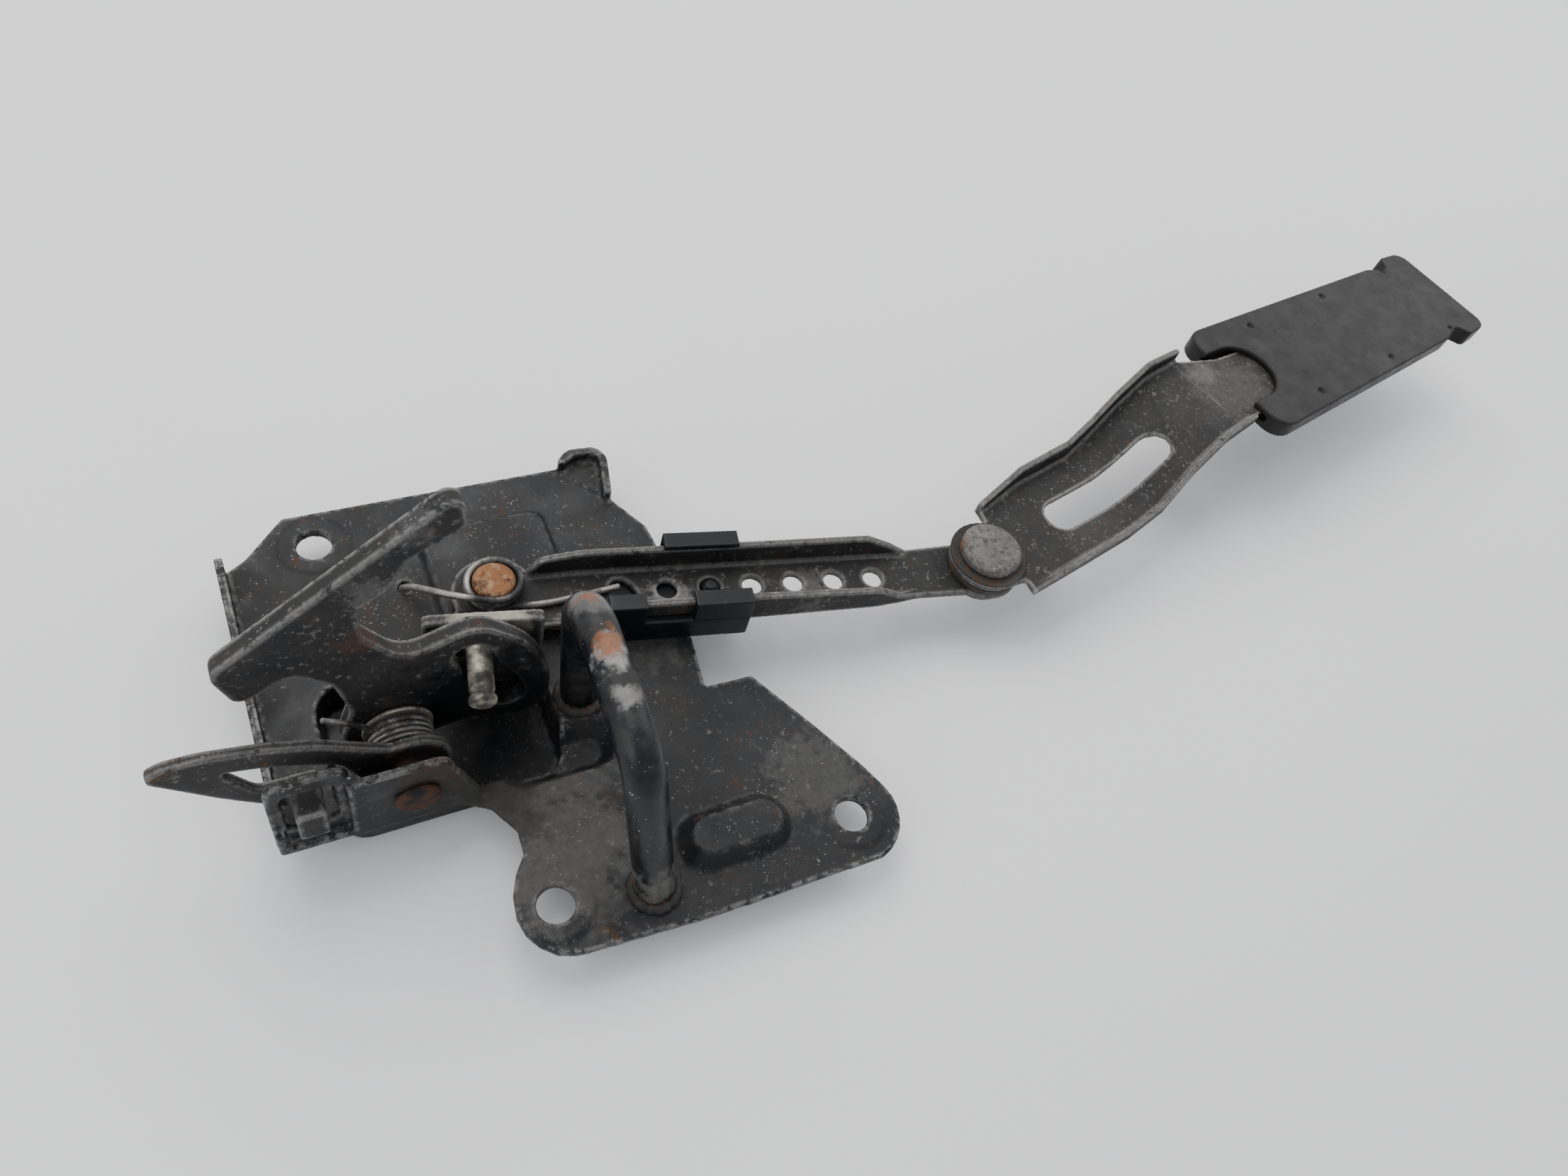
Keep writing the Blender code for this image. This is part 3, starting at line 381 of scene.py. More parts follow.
@dataclass(frozen=True)
class Layer:
    """One coat over what is below it.

    Args:
        coat: How it lies.
        colour: Its colour.
        roughness: Its roughness.
        metallic: How metallic it is.
        scale: The size of its pattern; larger is finer.
        cover: The share that it covers, or a spot's radius in metres.
        softness: How soft its edges are.
        strength: How strongly it shows.
        centre: A spot's centre in the part's frame, in metres.
        grit: How much a spot breaks up into grains.
    """

    coat: Coat
    colour: Colour
    roughness: float
    metallic: float = 0.0
    scale: float = 100.0
    cover: float = 0.5
    softness: float = 0.12
    strength: float = 1.0
    centre: Point = (0.0, 0.0, 0.0)
    grit: float = 0.0


@dataclass(frozen=True)
class Finish:
    """A surface finish: a ground colour, coats laid over it, and a relief.

    Args:
        name: The material's name.
        colour: The ground colour.
        tint: A second ground colour that it drifts to.
        roughness: The ground's roughness.
        metallic: The ground's metallic value.
        layers: The coats, lowest first.
        relief: The relief's depth in metres.
        wave: The scale of the relief's swells.
        grain: The scale of its grain.
        relief_mix: The share of grain in it.
        specular: The Principled specular level.
    """

    name: str
    colour: Colour
    tint: Colour
    roughness: float
    metallic: float = 0.0
    layers: tuple[Layer, ...] = ()
    relief: float = 0.0002
    wave: float = 220.0
    grain: float = 1400.0
    relief_mix: float = 0.5
    specular: float = 0.26

    def material(self, effects: EffectLibrary) -> bpy.types.Material:
        """Build the material.

        Args:
            effects: The shared node groups.

        Returns:
            The finished material.
        """
        made = bpy.data.materials.new(self.name)
        made.use_nodes = True
        graph = Graph(made.node_tree)
        shader = made.node_tree.nodes["Principled BSDF"]
        ground = self.group(graph, effects.groups[Coat.CLOUD], Scale=GROUND_SCALE, Cover=0.5, Softness=0.16)
        colour = graph.blend_colour(ground, self.colour, self.tint)
        drift = self.group(graph, effects.groups[Coat.CLOUD], Scale=GLOSS_SCALE, Cover=0.5, Softness=0.2)
        duller = min(self.roughness + GLOSS_DRIFT, 1.0)
        roughness = graph.blend_value(drift, self.roughness, duller)
        metallic: object = self.metallic
        for layer in self.layers:
            mask = self.mask(graph, effects, layer)
            shade = self.group(graph, effects.groups[Coat.CLOUD], Scale=layer.scale * SHADE_FINER, Cover=0.5,
                               Softness=0.25)
            deep = tuple(channel * SHADE_DEPTH for channel in layer.colour)
            tone = graph.blend_colour(shade, deep, layer.colour)
            colour = graph.blend_colour(mask, colour, tone)
            roughness = graph.blend_value(mask, roughness, layer.roughness)
            if layer.metallic != self.metallic:
                metallic = graph.blend_value(mask, metallic, layer.metallic)
        graph.put(shader.inputs["Base Color"], colour)
        graph.put(shader.inputs["Roughness"], roughness)
        graph.put(shader.inputs["Metallic"], metallic)
        shader.inputs["Specular IOR Level"].default_value = self.specular
        height = self.group(graph, effects.relief, Wave=self.wave, Grain=self.grain, Mix=self.relief_mix)
        bump = graph.node("ShaderNodeBump")
        bump.inputs["Strength"].default_value = BUMP_STRENGTH
        bump.inputs["Distance"].default_value = self.relief
        graph.put(bump.inputs["Height"], height)
        graph.put(shader.inputs["Normal"], bump.outputs["Normal"])
        return made

    @staticmethod
    def group(graph: Graph, tree: bpy.types.NodeTree, **values: float) -> bpy.types.NodeSocket:
        """Place a shared group with its own values.

        Args:
            graph: The material's graph.
            tree: The node group.
            **values: Its inputs' values.

        Returns:
            The group's output socket.
        """
        made = graph.node("ShaderNodeGroup", node_tree=tree)
        for name, value in values.items():
            made.inputs[name].default_value = value
        return made.outputs[0]

    def mask(self, graph: Graph, effects: EffectLibrary, layer: Layer) -> bpy.types.NodeSocket:
        """Return a layer's mask.

        Args:
            graph: The material's graph.
            effects: The shared node groups.
            layer: The layer.

        Returns:
            The mask's socket.
        """
        made = graph.node("ShaderNodeGroup", node_tree=effects.groups[layer.coat])
        made.inputs["Scale"].default_value = layer.scale
        made.inputs["Cover"].default_value = layer.cover
        made.inputs["Softness"].default_value = layer.softness
        made.inputs["Strength"].default_value = layer.strength
        if layer.coat is Coat.SPOT:
            made.inputs["Centre"].default_value = layer.centre
            made.inputs["Grit"].default_value = layer.grit
        return made.outputs["Mask"]


# ---------------------------------------------------------------- the finishes

BLACK: Colour = (0.0048, 0.0055, 0.0072)
SOOT: Colour = (0.0105, 0.0112, 0.0128)
GRIME: Colour = (0.021, 0.020, 0.0185)
DUST: Colour = (0.043, 0.040, 0.036)
PALE_DUST: Colour = (0.175, 0.168, 0.155)
CHALK: Colour = (0.46, 0.45, 0.43)
STEEL: Colour = (0.42, 0.41, 0.39)
RUST: Colour = (0.29, 0.105, 0.035)
BROWN_RUST: Colour = (0.085, 0.038, 0.020)
ZINC: Colour = (0.50, 0.47, 0.38)


def spot(colour: Colour, centre_mm: Point, radius_mm: float, roughness: float = 0.75,
         metallic: float = 0.0, strength: float = 0.9, scale: float = 220.0, grit: float = 0.7) -> Layer:
    """Return a ragged patch layer.

    Args:
        colour: Its colour.
        centre_mm: Its centre in the part's frame, in millimetres.
        radius_mm: Its radius in millimetres.
        roughness: Its roughness.
        metallic: How metallic it is.
        strength: How strongly it shows.
        scale: The scale of its ragged edge.
        grit: How much it breaks up into grains.

    Returns:
        The layer.
    """
    centre = tuple(value * MM for value in centre_mm)
    return Layer(Coat.SPOT, colour, roughness, metallic, scale, radius_mm * MM, 0.45, strength, centre, grit)


def paint_layers(dust: float, wear: float, rust: float) -> tuple[Layer, ...]:
    """Return the coats of worn black paint that all the pressed steel shares.

    Args:
        dust: How much dust there is.
        wear: How much bare edge there is.
        rust: How much rust there is.

    Returns:
        The layers, lowest first.
    """
    return (
        Layer(Coat.CLOUD, SOOT, 0.62, scale=34.0, cover=0.5, softness=0.1, strength=0.8),
        Layer(Coat.CLOUD, DUST, 0.9, scale=75.0, cover=dust, softness=0.12, strength=0.6),
        Layer(Coat.UPWARD, DUST, 0.92, scale=120.0, cover=dust + 0.08, softness=0.16, strength=0.34),
        Layer(Coat.CLOUD, PALE_DUST, 0.93, scale=620.0, cover=dust * 0.5, softness=0.05, strength=0.6),
        Layer(Coat.CLOUD, BROWN_RUST, 0.9, scale=170.0, cover=rust, softness=0.07, strength=0.8),
        Layer(Coat.SPECK, CHALK, 0.8, scale=950.0, cover=0.25, softness=0.08, strength=0.55),
        Layer(Coat.EDGE, STEEL, 0.45, 0.75, scale=240.0, cover=wear - 0.04, softness=0.07, strength=0.6),
        Layer(Coat.EDGE, CHALK, 0.85, scale=420.0, cover=wear - 0.02, softness=0.05, strength=0.9),
        Layer(Coat.EDGE, RUST, 0.9, scale=110.0, cover=rust + 0.24, softness=0.05, strength=0.55),
    )


class FinishBook:
    """All the finishes of the part, made into materials once."""

    def __init__(self, effects: EffectLibrary) -> None:
        """Make the materials.

        Args:
            effects: The shared node groups.
        """
        self.materials = {finish.name: finish.material(effects) for finish in self.finishes()}

    @staticmethod
    def finishes() -> Iterable[Finish]:
        """Yield every finish of the part."""
        yield Finish("plate_paint", BLACK, SOOT, 0.34, layers=paint_layers(0.34, 0.5, 0.1) + (
            spot(PALE_DUST, (34, -80, 0), 34, 0.92, strength=0.34, scale=190.0, grit=0.95),
            spot(DUST, (22, -66, 4), 22, 0.92, strength=0.9, scale=140.0, grit=0.5),
            spot(PALE_DUST, (72, -30, 2), 22, 0.92, strength=0.24, scale=240.0, grit=0.98),
            spot(PALE_DUST, (102, -84, 2), 20, 0.9, strength=0.26, scale=300.0, grit=1.0),
            spot(PALE_DUST, (-18, -64, 14), 9, 0.9, strength=0.5),
            spot(DUST, (-4, 9, 2), 12, 0.9, strength=0.7),
            spot(BROWN_RUST, (10, -63, 20), 11, 0.9, strength=0.34),
            spot(CHALK, (83, 33, 7), 6.5, 0.85, strength=0.55, scale=420.0)))
        yield Finish("bow_paint", BLACK, SOOT, 0.19, layers=(
            Layer(Coat.CLOUD, DUST, 0.85, scale=90.0, cover=0.34, softness=0.12, strength=0.6),
            Layer(Coat.SPECK, CHALK, 0.8, scale=700.0, cover=0.24, softness=0.1, strength=0.5),
            spot(STEEL, (50, -42, 52), 12, 0.5, 0.4, 0.32, 150.0),
            spot(RUST, (50, -41, 52), 8, 0.85, strength=0.9, scale=260.0),
            spot(CHALK, (50, -60, 51), 7.4, 0.6, 0.3, 0.66, 240.0, 0.8),
            spot(RUST, (50, -57.5, 50), 5.4, 0.85, strength=0.85, scale=330.0),
            spot(CHALK, (50, -71, 49), 5.4, 0.6, 0.3, 0.4, 240.0, 0.85),
            spot(PALE_DUST, (51.5, -96, 7), 12, 0.85, strength=0.6, scale=160.0)))
        yield Finish("hook_paint", SOOT, GRIME, 0.5, layers=paint_layers(0.46, 0.56, 0.12) + (
            spot(CHALK, (4, -44, 67), 8.5, 0.85, strength=0.42, scale=420.0, grit=0.95),
            spot(CHALK, (14, -42, 84), 7.5, 0.85, strength=0.4, scale=420.0, grit=0.95),
            spot(BROWN_RUST, (2, -44, 52), 9, 0.9, strength=0.75),
            # painted shade: a near-black, glossier patch over the hook's lower part near the plate, under the
            # striker bow
            spot(BLACK, (26, -44, 14), 36, 0.28, strength=0.92, scale=80.0, grit=0.1)))
        yield Finish("horn_paint", SOOT, GRIME, 0.55, layers=paint_layers(0.42, 0.56, 0.14))
        yield Finish("strap_paint", SOOT, GRIME, 0.5, layers=paint_layers(0.44, 0.6, 0.12) + (
            spot(ZINC, (30, -34, 31), 16, 0.5, 0.55, 0.85, 130.0),
            spot(CHALK, (122, -33, 8), 12, 0.85, strength=0.32, scale=420.0, grit=0.98),
            spot(CHALK, (84, -24, 9), 9, 0.85, strength=0.4, scale=420.0)))
        yield Finish("link_paint", SOOT, GRIME, 0.48, layers=paint_layers(0.46, 0.6, 0.1) + (
            spot(PALE_DUST, (296, -5, 26), 24, 0.75, 0.25, 0.75, 150.0),
            spot(PALE_DUST, (222, -38, 12), 20, 0.85, strength=0.22, scale=220.0, grit=0.95),
            spot(CHALK, (290, 2, 26), 9, 0.8, strength=0.4, scale=300.0)))
        yield Finish("rivet_rust", (0.175, 0.072, 0.030), (0.25, 0.115, 0.055), 0.86, layers=(
            Layer(Coat.CLOUD, (0.40, 0.25, 0.14), 0.85, scale=330.0, cover=0.36, softness=0.08),
            Layer(Coat.CLOUD, BROWN_RUST, 0.9, scale=340.0, cover=0.3, softness=0.08),
            Layer(Coat.EDGE, SOOT, 0.8, scale=300.0, cover=0.7, softness=0.15, strength=0.8)),
            relief=0.0003)
        yield Finish("pin_rust", (0.034, 0.018, 0.012), (0.058, 0.028, 0.017), 0.85, layers=(
            Layer(Coat.CLOUD, SOOT, 0.8, scale=260.0, cover=0.4, softness=0.1),
            Layer(Coat.CLOUD, RUST, 0.9, scale=340.0, cover=0.22, softness=0.08, strength=0.25)),
            relief=0.0003)
        yield Finish("zinc_steel", ZINC, (0.33, 0.31, 0.27), 0.4, 0.85, layers=(
            Layer(Coat.CLOUD, SOOT, 0.7, scale=190.0, cover=0.58, softness=0.12, strength=0.9),
            Layer(Coat.CLOUD, BROWN_RUST, 0.9, scale=230.0, cover=0.24, softness=0.07, strength=0.7)))
        yield Finish("rivet_zinc", (0.145, 0.138, 0.128), (0.095, 0.091, 0.086), 0.6, 0.25, layers=(
            Layer(Coat.SPECK, CHALK, 0.7, 0.2, scale=1100.0, cover=0.42, softness=0.2, strength=0.5),
            Layer(Coat.CLOUD, SOOT, 0.8, scale=620.0, cover=0.36, softness=0.1, strength=0.6),
            Layer(Coat.CLOUD, CHALK, 0.75, 0.2, scale=900.0, cover=0.24, softness=0.08, strength=0.4),
            spot(BROWN_RUST, (172, -35, 13), 7, 0.9, strength=0.85),
            spot(RUST, (171, -34.5, 12.6), 4, 0.9, strength=0.7)),
            relief=0.00016, grain=2200.0)
        yield Finish("spring_wire", (0.44, 0.43, 0.41), (0.20, 0.19, 0.18), 0.36, 0.85, layers=(
            Layer(Coat.CLOUD, SOOT, 0.6, scale=210.0, cover=0.46, softness=0.12, strength=0.9),
            Layer(Coat.CLOUD, BROWN_RUST, 0.85, scale=380.0, cover=0.25, softness=0.08, strength=0.6)))
        yield Finish("coil_wire_and_shade", (0.44, 0.43, 0.41), (0.22, 0.21, 0.195), 0.36, 0.8, layers=(
            Layer(Coat.CLOUD, SOOT, 0.6, scale=210.0, cover=0.34, softness=0.12, strength=0.85),
            # painted shade: a near-black patch over the coil's turns round its middle
            spot(SOOT, (41.0, -11.0, 9), 17.0, 0.5, strength=0.97, scale=110.0, grit=0.05)))
        yield Finish("clip_plastic", (0.0042, 0.0048, 0.0064), (0.0064, 0.007, 0.009), 0.3, layers=(
            Layer(Coat.CLOUD, DUST, 0.85, scale=260.0, cover=0.16, softness=0.1, strength=0.5),
            Layer(Coat.EDGE, (0.035, 0.037, 0.042), 0.4, scale=200.0, cover=0.6, softness=0.2,
                  strength=0.35)), relief=0.00004, wave=500.0, grain=2600.0,
            specular=0.2)
        yield Finish("grip_plastic", (0.0098, 0.0092, 0.0086), (0.0150, 0.0142, 0.0135), 0.38, layers=(
            Layer(Coat.CLOUD, (0.030, 0.029, 0.028), 0.55, scale=40.0, cover=0.42, softness=0.16,
                  strength=0.5),
            Layer(Coat.CLOUD, DUST, 0.85, scale=330.0, cover=0.2, softness=0.08, strength=0.45),
            Layer(Coat.SPECK, PALE_DUST, 0.85, scale=800.0, cover=0.16, softness=0.08, strength=0.5),
            Layer(Coat.EDGE, (0.040, 0.039, 0.038), 0.5, scale=160.0, cover=0.55, softness=0.2,
                  strength=0.6)), relief=0.00006, wave=160.0, grain=3000.0, relief_mix=0.65,
            specular=0.15)
        yield Finish("dark_scale", (0.016, 0.016, 0.017), DUST, 0.6, layers=(
            Layer(Coat.CLOUD, DUST, 0.9, scale=260.0, cover=0.4, softness=0.1),
            Layer(Coat.CLOUD, BROWN_RUST, 0.9, scale=300.0, cover=0.3, softness=0.08)), relief=0.0003)

    def __getitem__(self, name: str) -> bpy.types.Material:
        """Return the material of that name."""
        return self.materials[name]


# ---------------------------------------------------------------- shapes

@dataclass(frozen=True)
class ShellPlan:
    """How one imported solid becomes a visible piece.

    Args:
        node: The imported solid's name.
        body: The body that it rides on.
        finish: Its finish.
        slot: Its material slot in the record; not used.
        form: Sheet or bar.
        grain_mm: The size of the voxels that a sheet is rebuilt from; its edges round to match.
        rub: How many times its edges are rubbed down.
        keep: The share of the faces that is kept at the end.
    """

    node: str
    body: str
    finish: str
    slot: str
    form: Form = Form.SHEET
    grain_mm: float = 0.4
    rub: int = 6
    keep: float = 0.22


def finish_object(name: str, mesh: bpy.types.Mesh) -> bpy.types.Object:
    """Put a mesh in the scene, shaded smooth.

    Args:
        name: The new object's name.
        mesh: Its mesh.

    Returns:
        The new object.
    """
    mesh.shade_smooth()
    made = bpy.data.objects.new(name, mesh)
    bpy.context.scene.collection.objects.link(made)
    return made


def clean_copy(node: str, form: Form) -> bpy.types.Mesh:
    """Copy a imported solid's mesh with its seams closed and, on a bar, its quads restored.

    Args:
        node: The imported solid's name.
        form: Sheet or bar.

    Returns:
        The new mesh.
    """
    source = bpy.data.objects[node].data
    work = bmesh.new()
    work.from_mesh(source)
    bmesh.ops.remove_doubles(work, verts=work.verts, dist=2e-6)
    bmesh.ops.dissolve_degenerate(work, dist=4e-6, edges=work.edges)
    if form is Form.BAR:
        bmesh.ops.join_triangles(work, faces=work.faces, angle_face_threshold=math.radians(50),
                                 angle_shape_threshold=math.radians(180))
    work.verts.index_update()
    points = [tuple(vert.co) for vert in work.verts]
    faces = [[vert.index for vert in face.verts] for face in work.faces]
    work.free()
    made = bpy.data.meshes.new(f"{node}_mesh")
    made.from_pydata(points, [], faces)
    made.validate()
    return made


def carve(target: bpy.types.Object, tools: Sequence[bpy.types.Object]) -> None:
    """Cut tools out of a piece and keep the result as its mesh.

    Args:
        target: The piece.
        tools: The cutting shapes, which are removed.
    """
    for tool in tools:
        modifier = target.modifiers.new("carve", 'BOOLEAN')
        modifier.operation = 'DIFFERENCE'
        modifier.solver = 'EXACT'
        modifier.object = tool
    keep_result(target)
    for tool in tools:
        bpy.data.objects.remove(tool)


def keep_result(target: bpy.types.Object) -> None:
    """Make a piece's modifiers final in its own mesh.

    Args:
        target: The piece.
    """
    bpy.context.view_layer.update()
    ready = target.evaluated_get(bpy.context.evaluated_depsgraph_get())
    mesh = bpy.data.meshes.new_from_object(ready)
    target.modifiers.clear()
    target.data = mesh
    mesh.shade_smooth()


def rub_down(target: bpy.types.Object, plan: ShellPlan) -> None:
    """Rebuild a sheet piece finely and round its edges as wear does.

    Args:
        target: The piece.
        plan: Its voxel size, rubbing and share of faces.
    """
    grid = target.modifiers.new("grid", 'REMESH')
    grid.mode = 'VOXEL'
    grid.voxel_size = plan.grain_mm * MM
    rub = target.modifiers.new("rub", 'SMOOTH')
    rub.factor = RUB_FACTOR
    rub.iterations = plan.rub
    thin = target.modifiers.new("thin", 'DECIMATE')
    thin.ratio = plan.keep
    keep_result(target)


def hold_ends(mesh: bpy.types.Mesh) -> None:
    """Crease a bar's sharp rims so that rounding leaves its ends full.

    Args:
        mesh: The bar's mesh.
    """
    work = bmesh.new()
    work.from_mesh(mesh)
    crease = work.edges.layers.float.get("crease_edge") or work.edges.layers.float.new("crease_edge")
    for rim in work.edges:
        if len(rim.link_faces) == 2 and rim.calc_face_angle() > SHARP_RIM:
            rim[crease] = RIM_CREASE
    work.to_mesh(mesh)
    work.free()


def make_shell(plan: ShellPlan, book: FinishBook, tools: Sequence[bpy.types.Object] = ()) -> bpy.types.Object:
    """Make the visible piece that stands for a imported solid.

    Args:
        plan: How it is made.
        book: The finishes.
        tools: Shapes to cut out of it.

    Returns:
        The new piece, riding on its body.
    """
    made = finish_object(f"{plan.node}_shell", clean_copy(plan.node, plan.form))
    if tools:
        carve(made, tools)
    if plan.form is Form.SHEET:
        rub_down(made, plan)
    else:
        hold_ends(made.data)
        smooth = made.modifiers.new("round", 'SUBSURF')
        smooth.levels = 1
        smooth.render_levels = 1
    made.data.materials.clear()
    made.data.materials.append(book[plan.finish])
    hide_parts(plan.node)
    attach(made, plan.body)
    LOG.info("%s rides on %s", made.name, plan.body)
    return made


def post(name: str, place: Vector, radius: float, depth: float, sides: int = 20) -> bpy.types.Object:
    """Make an upright round cutting shape.

    Args:
        name: Its name.
        place: Its middle.
        radius: Its radius.
        depth: Its height.
        sides: Its number of sides.

    Returns:
        The shape.
    """
    work = bmesh.new()
    bmesh.ops.create_cone(work, cap_ends=True, segments=sides, radius1=radius, radius2=radius, depth=depth,
                          matrix=Matrix.Translation(place))
    mesh = bpy.data.meshes.new(name)
    work.to_mesh(mesh)
    work.free()
    return finish_object(name, mesh)


def block(name: str, place: Vector, size: Vector, turn: float) -> bpy.types.Object:
    """Make a box-shaped cutting shape turned about the vertical.

    Args:
        name: Its name.
        place: Its middle.
        size: Its sides.
        turn: Its angle in radians.

    Returns:
        The shape.
    """
    work = bmesh.new()
    where = Matrix.Translation(place) @ Matrix.Rotation(turn, 4, 'Z') @ Matrix.Diagonal((*size, 1.0))
    bmesh.ops.create_cube(work, size=1.0, matrix=where)
    mesh = bpy.data.meshes.new(name)
    work.to_mesh(mesh)
    work.free()
    return finish_object(name, mesh)


# ---------------------------------------------------------------- sub-assemblies

@dataclass
class Plate:
    """The pressed plate, the rivet and its washer, with the fixed pieces on the hook's pin.

    Args:
        grain_mm: The voxel size that the plate is rebuilt with.
    """

    grain_mm: float = 0.45

    def plans(self) -> tuple[ShellPlan, ...]:
        """Return how the plate's solids become pieces."""
        return (
            ShellPlan("base_plate", "plate", "plate_paint", "plate_paint", grain_mm=self.grain_mm),
            ShellPlan("hook_pivot_pin", "plate", "pin_rust", "rusty_steel", grain_mm=0.25),
            ShellPlan("pin_washer", "plate", "zinc_steel", "zinc_steel", grain_mm=0.25),
            ShellPlan("spring_sleeve", "plate", "zinc_steel", "zinc_steel", grain_mm=0.3),
            ShellPlan("strap_rivet", "plate", "rivet_rust", "rusty_steel", grain_mm=0.22),
            ShellPlan("strap_washer", "plate", "zinc_steel", "zinc_steel", grain_mm=0.2, rub=2),
            ShellPlan("guide_horn", "plate", "horn_paint", "plate_paint", grain_mm=0.35, rub=14),
        )

    def build(self, book: FinishBook) -> None:
        """Build and dress the pieces."""
        for plan in self.plans():
            make_shell(plan, book)


@dataclass
class Bow:
    """The round-bar striker and the weld round each of its feet.

    Args:
        bar_radius: The bar's radius.
        bead_radius: The weld's radius.
        around: The number of rings round the foot.
        across: The number of points in each ring.
        lump: How much the weld swells and thins.
        ripple: How deep its ripples are.
        ripples: How many ripples it has.
        tuck: How far it stands off the bar, as a share of its radius.
        height: How much higher than round it is.
    """

    bar_radius: float = 5.0 * MM
    bead_radius: float = 1.35 * MM
    around: int = 64
    across: int = 14
    lump: float = 0.28
    ripple: float = 0.1
    ripples: int = 17
    tuck: float = 0.3
    height: float = 1.25

    def foot_centres(self) -> tuple[Vector, Vector]:
        """Return the middle of each foot on the plate."""
        low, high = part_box("striker_bow")
        vertices = bpy.data.objects["striker_bow"].data.vertices
        near = [vert.co for vert in vertices if vert.co.z < low.z + 0.4 * MM]
        middle = (low.y + high.y) / 2
        feet = []
        for side in (lambda co: co.y > middle, lambda co: co.y <= middle):
            group = [co for co in near if side(co)]
            feet.append(sum(group, Vector()) / len(group))
        return feet[0], feet[1]

    def bead(self, centre: Vector, name: str) -> bpy.types.Object:
        """Make one uneven ring of weld.

        Args:
            centre: The foot's middle.
            name: The piece's name.

        Returns:
            The weld.
        """
        work = bmesh.new()
        rings = []
        for i in range(self.around):
            angle = 2 * math.pi * i / self.around
            outward = Vector((math.cos(angle), math.sin(angle), 0.0))
            ring = []
            for k in range(self.across):
                turn = 2 * math.pi * k / self.across
                lump = noise.noise(outward * 3.1 + Vector((centre.y * 90, 0, math.sin(turn)))) * self.lump
                ripple = self.ripple * math.sin(angle * self.ripples)
                size = self.bead_radius * (1.0 + lump + ripple)
                run = self.bar_radius + self.tuck * self.bead_radius + size * math.cos(turn)
                rise = max(size * math.sin(turn) * self.height, -0.2 * MM)
                ring.append(work.verts.new(centre + outward * run + Vector((0, 0, rise + 0.1 * MM))))
            rings.append(ring)
        for i, ring in enumerate(rings):
            following = rings[(i + 1) % self.around]
            for k in range(self.across):
                j = (k + 1) % self.across
                work.faces.new((ring[k], ring[j], following[j], following[k]))
        bmesh.ops.recalc_face_normals(work, faces=work.faces)
        mesh = bpy.data.meshes.new(name)
        work.to_mesh(mesh)
        work.free()
        return finish_object(name, mesh)

    def build(self, book: FinishBook) -> None:
        """Build the bow and its welds."""
        plan = ShellPlan("striker_bow", "plate", "bow_paint", "bow_paint", Form.BAR)
        make_shell(plan, book)
        for centre, name in zip(self.foot_centres(), ("bow_weld_rear", "bow_weld_front")):
            weld = self.bead(centre, name)
            weld.data.materials.append(book["dark_scale"])
            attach(weld, "plate")
            LOG.info("%s rides on plate", name)


@dataclass
class Springs:
    """The two torsion springs."""

    def build(self, book: FinishBook) -> None:
        """Build and dress the springs."""
        make_shell(ShellPlan("hook_spring", "plate", "spring_wire", "spring_wire", Form.BAR), book)
        make_shell(ShellPlan("strap_spring", "plate", "coil_wire_and_shade", "spring_wire", Form.BAR), book)


@dataclass
class Hook:
    """The safety hook and its bearing bush.

    Args:
        grain_mm: The voxel size that the hook is rebuilt with.
        rub: How many times its edges are rubbed.
    """

    grain_mm: float = 0.35
    rub: int = 12

    def build(self, book: FinishBook) -> None:
        """Build and dress the hook."""
        make_shell(ShellPlan("safety_hook", "hook", "hook_paint", "hook_paint",
                             grain_mm=self.grain_mm, rub=self.rub), book)
        make_shell(ShellPlan("hook_bush", "hook", "zinc_steel", "zinc_steel", grain_mm=0.22, rub=3), book)


@dataclass
class Strap:
    """The pull strap with its lug, drive pin, slide and handle pivot.

    Args:
        stud_place: The end of the slide's stud, in metres.
        cross_turn: How the cross on it is turned.
        cross_length: The length of the cross's bars.
        cross_width: Their width.
    """

    stud_place: Point = (0.0943, -0.0259, 0.0079)
    cross_turn: float = math.radians(-11.8)
    cross_length: float = 4.6 * MM
    cross_width: float = 0.55 * MM

    def cross(self) -> list[bpy.types.Object]:
        """Return the cutting shapes of the cross on the snap stud's end."""
        low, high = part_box("guide_shoe")
        place = Vector((self.stud_place[0], self.stud_place[1], self.stud_place[2] + 0.3 * MM))
        long = Vector((self.cross_length, self.cross_width, 1.2 * MM))
        wide = Vector((self.cross_width, self.cross_length, 1.2 * MM))
        LOG.debug("slide spans %s to %s", low, high)
        return [block("cross_long", place, long, self.cross_turn),
                block("cross_wide", place, wide, self.cross_turn)]

    def build(self, book: FinishBook) -> None:
        """Build and dress the strap's pieces."""
        make_shell(ShellPlan("pull_strap", "strap", "strap_paint", "plate_paint", grain_mm=0.4), book)
        make_shell(ShellPlan("drive_pin", "strap", "zinc_steel", "zinc_steel", grain_mm=0.2), book)
        make_shell(ShellPlan("guide_shoe", "strap", "clip_plastic", "clip_plastic", grain_mm=0.24, rub=3,
                             keep=0.12), book, self.cross())
        make_shell(ShellPlan("handle_rivet", "strap", "rivet_zinc", "zinc_steel", grain_mm=0.28), book)
        make_shell(ShellPlan("handle_spacer", "strap", "dark_scale", "zinc_steel", grain_mm=0.3), book)
        make_shell(ShellPlan("handle_top_washer", "strap", "dark_scale", "zinc_steel", grain_mm=0.22,
                             rub=2), book)


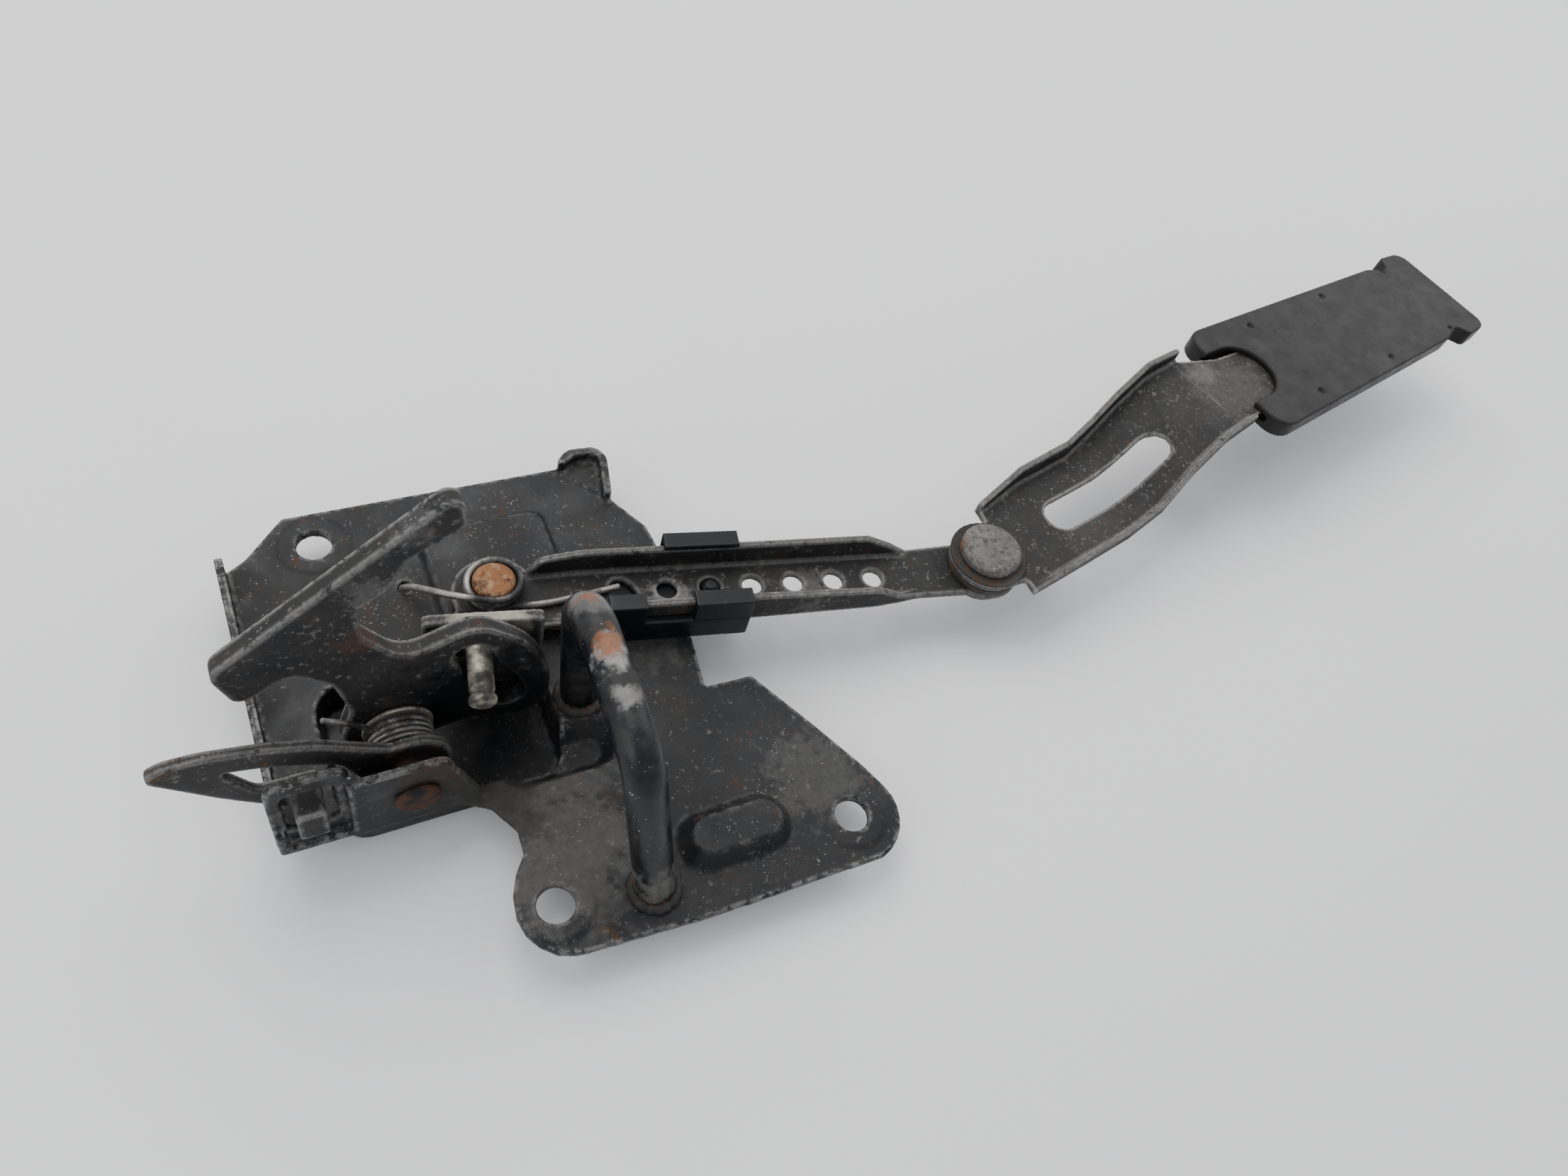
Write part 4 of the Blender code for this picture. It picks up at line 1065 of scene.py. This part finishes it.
@dataclass
class Handle:
    """The pressed link and the moulded grip with its pin marks.

    Args:
        pin_radius: A mark's radius.
        pin_depth: Its depth.
        turn: How the grip is turned in the part's frame.
        along: Where the marks lie, as shares of the grip's length.
        across: How far they lie from its middle, as a share of its width.
    """

    pin_radius: float = 1.15 * MM
    pin_depth: float = 1.0 * MM
    turn: float = math.radians(10.5)
    along: tuple[float, ...] = (0.2, 0.55, 0.86)
    across: float = 0.36

    def marks(self) -> list[bpy.types.Object]:
        """Return the cutting shapes of the pin marks in the grip's face."""
        _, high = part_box("handle_grip")
        vertices = bpy.data.objects["handle_grip"].data.vertices
        back = Matrix.Rotation(-self.turn, 3, 'Z')
        local = [back @ vert.co for vert in vertices]
        start = min(co.x for co in local)
        end = max(co.x for co in local)
        left = min(co.y for co in local)
        right = max(co.y for co in local)
        middle = (left + right) / 2
        shapes = []
        for i, share in enumerate(self.along):
            for sign in (-1.0, 1.0):
                if sign < 0 and i == 0:
                    share += 0.02
                spot_at = Vector((start + share * (end - start),
                                  middle + sign * self.across * (right - left), 0.0))
                place = Matrix.Rotation(self.turn, 3, 'Z') @ spot_at
                place.z = high.z
                shapes.append(post(f"mark_{len(shapes)}", place, self.pin_radius, 2 * self.pin_depth))
        return shapes

    def build(self, book: FinishBook) -> None:
        """Build and dress the handle."""
        make_shell(ShellPlan("handle_link", "handle", "link_paint", "plate_paint", grain_mm=0.4), book)
        make_shell(ShellPlan("handle_grip", "handle", "grip_plastic", "grip_plastic", grain_mm=0.4,
                             rub=8, keep=0.15), book, self.marks())


@dataclass(frozen=True)
class Lamp:
    """One soft square light.

    Args:
        name: Its name.
        place: Where it hangs.
        aim: What it points at.
        size: Its side.
        power: Its power in watts.
        colour: Its colour.
    """

    name: str
    place: Point
    aim: Point
    size: float
    power: float
    colour: Colour

    def hang(self) -> None:
        """Add the light to the scene."""
        light = bpy.data.lights.new(self.name, 'AREA')
        light.shape = 'SQUARE'
        light.size = self.size
        light.energy = self.power
        light.color = self.colour
        made = bpy.data.objects.new(self.name, light)
        made.location = self.place
        made.rotation_euler = (Vector(self.aim) - Vector(self.place)).to_track_quat('-Z', 'Y').to_euler()
        bpy.context.scene.collection.objects.link(made)


@dataclass(frozen=True)
class Studio:
    """The pale floor, the soft lights and the camera.

    Args:
        floor_size: The floor's side in metres.
        floor_colour: Its colour.
        world_colour: The room's colour.
        world_strength: The room's brightness.
        lens: The lens in millimetres.
        camera_place: Where the camera is.
        camera_right: Its direction to the right.
        camera_up: Its direction upwards.
        camera_back: Its direction backwards.
        lamps: The lights.
    """

    floor_size: float = 6.0
    floor_colour: Colour = (0.80, 0.80, 0.81)
    world_colour: Colour = (0.93, 0.95, 1.0)
    world_strength: float = 0.75
    lens: float = 26.04
    camera_place: Point = (-0.01428, -0.17772, 0.26110)
    camera_right: Point = (0.88685, -0.40572, 0.22111)
    camera_up: Point = (0.21887, 0.79031, 0.57228)
    camera_back: Point = (-0.40693, -0.45913, 0.78969)
    lamps: tuple[Lamp, ...] = (
        Lamp("key", (0.0, 0.55, 0.95), (0.15, 0.0, 0.0), 0.9, 11.0, (1.0, 0.985, 0.96)),
        Lamp("side", (-0.8, -0.25, 0.6), (0.1, 0.0, 0.0), 0.7, 4.0, (0.95, 0.97, 1.0)),
        Lamp("far", (0.9, 0.3, 0.6), (0.2, 0.0, 0.0), 0.8, 4.0, (1.0, 1.0, 1.0)))

    def floor(self, height: float) -> None:
        """Lay the floor.

        Args:
            height: The lowest point of the part.
        """
        half = self.floor_size / 2
        corners = [(-half, -half, height), (half, -half, height), (half, half, height), (-half, half, height)]
        mesh = bpy.data.meshes.new("floor")
        mesh.from_pydata(corners, [], [(0, 1, 2, 3)])
        made = finish_object("floor", mesh)
        paint = bpy.data.materials.new("floor_board")
        paint.use_nodes = True
        graph = Graph(paint.node_tree)
        shader = paint.node_tree.nodes["Principled BSDF"]
        place = graph.node("ShaderNodeTexCoord").outputs["Object"]
        value = graph.noise(place, 5.0, 5.0)
        shade = tuple(channel * 0.955 for channel in self.floor_colour)
        graph.put(shader.inputs["Base Color"], graph.blend_colour(value, shade, self.floor_colour))
        shader.inputs["Roughness"].default_value = 0.75
        mesh.materials.append(paint)
        made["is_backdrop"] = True

    def camera(self) -> None:
        """Place the camera."""
        lens = bpy.data.cameras.new("camera")
        lens.lens = self.lens
        lens.sensor_width = 36.0
        lens.clip_start = 0.01
        made = bpy.data.objects.new("camera", lens)
        turn = Matrix((self.camera_right, self.camera_up, self.camera_back)).transposed()
        made.matrix_world = Matrix.Translation(self.camera_place) @ turn.to_4x4()
        bpy.context.scene.collection.objects.link(made)
        bpy.context.scene.camera = made

    def build(self, lowest: float) -> None:
        """Set up the studio round the part.

        Args:
            lowest: The lowest point of the part.
        """
        self.floor(lowest - FLOOR_GAP)
        world = bpy.data.worlds.new("soft_room")
        world.use_nodes = True
        back = world.node_tree.nodes["Background"]
        back.inputs["Color"].default_value = (*self.world_colour, 1.0)
        back.inputs["Strength"].default_value = self.world_strength
        bpy.context.scene.world = world
        for lamp in self.lamps:
            lamp.hang()
        self.camera()


def clear_scene() -> None:
    """Remove whatever the start-up file holds."""
    for item in list(bpy.data.objects):
        bpy.data.objects.remove(item)


def main() -> None:
    """Load the frame, build every sub-assembly, dress it and light it."""
    logging.basicConfig(level=logging.INFO, format="%(name)s: %(message)s")
    clear_scene()
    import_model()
    cad_box = [list(corner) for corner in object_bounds()]
    book = FinishBook(EffectLibrary())
    for assembly in (Plate(), Bow(), Springs(), Hook(), Strap(), Handle()):
        assembly.build(book)
        LOG.info("%s is built", type(assembly).__name__)
    Studio().build(cad_box[0][2])
    bpy.context.view_layer.update()


if __name__ == "__main__":
    main()
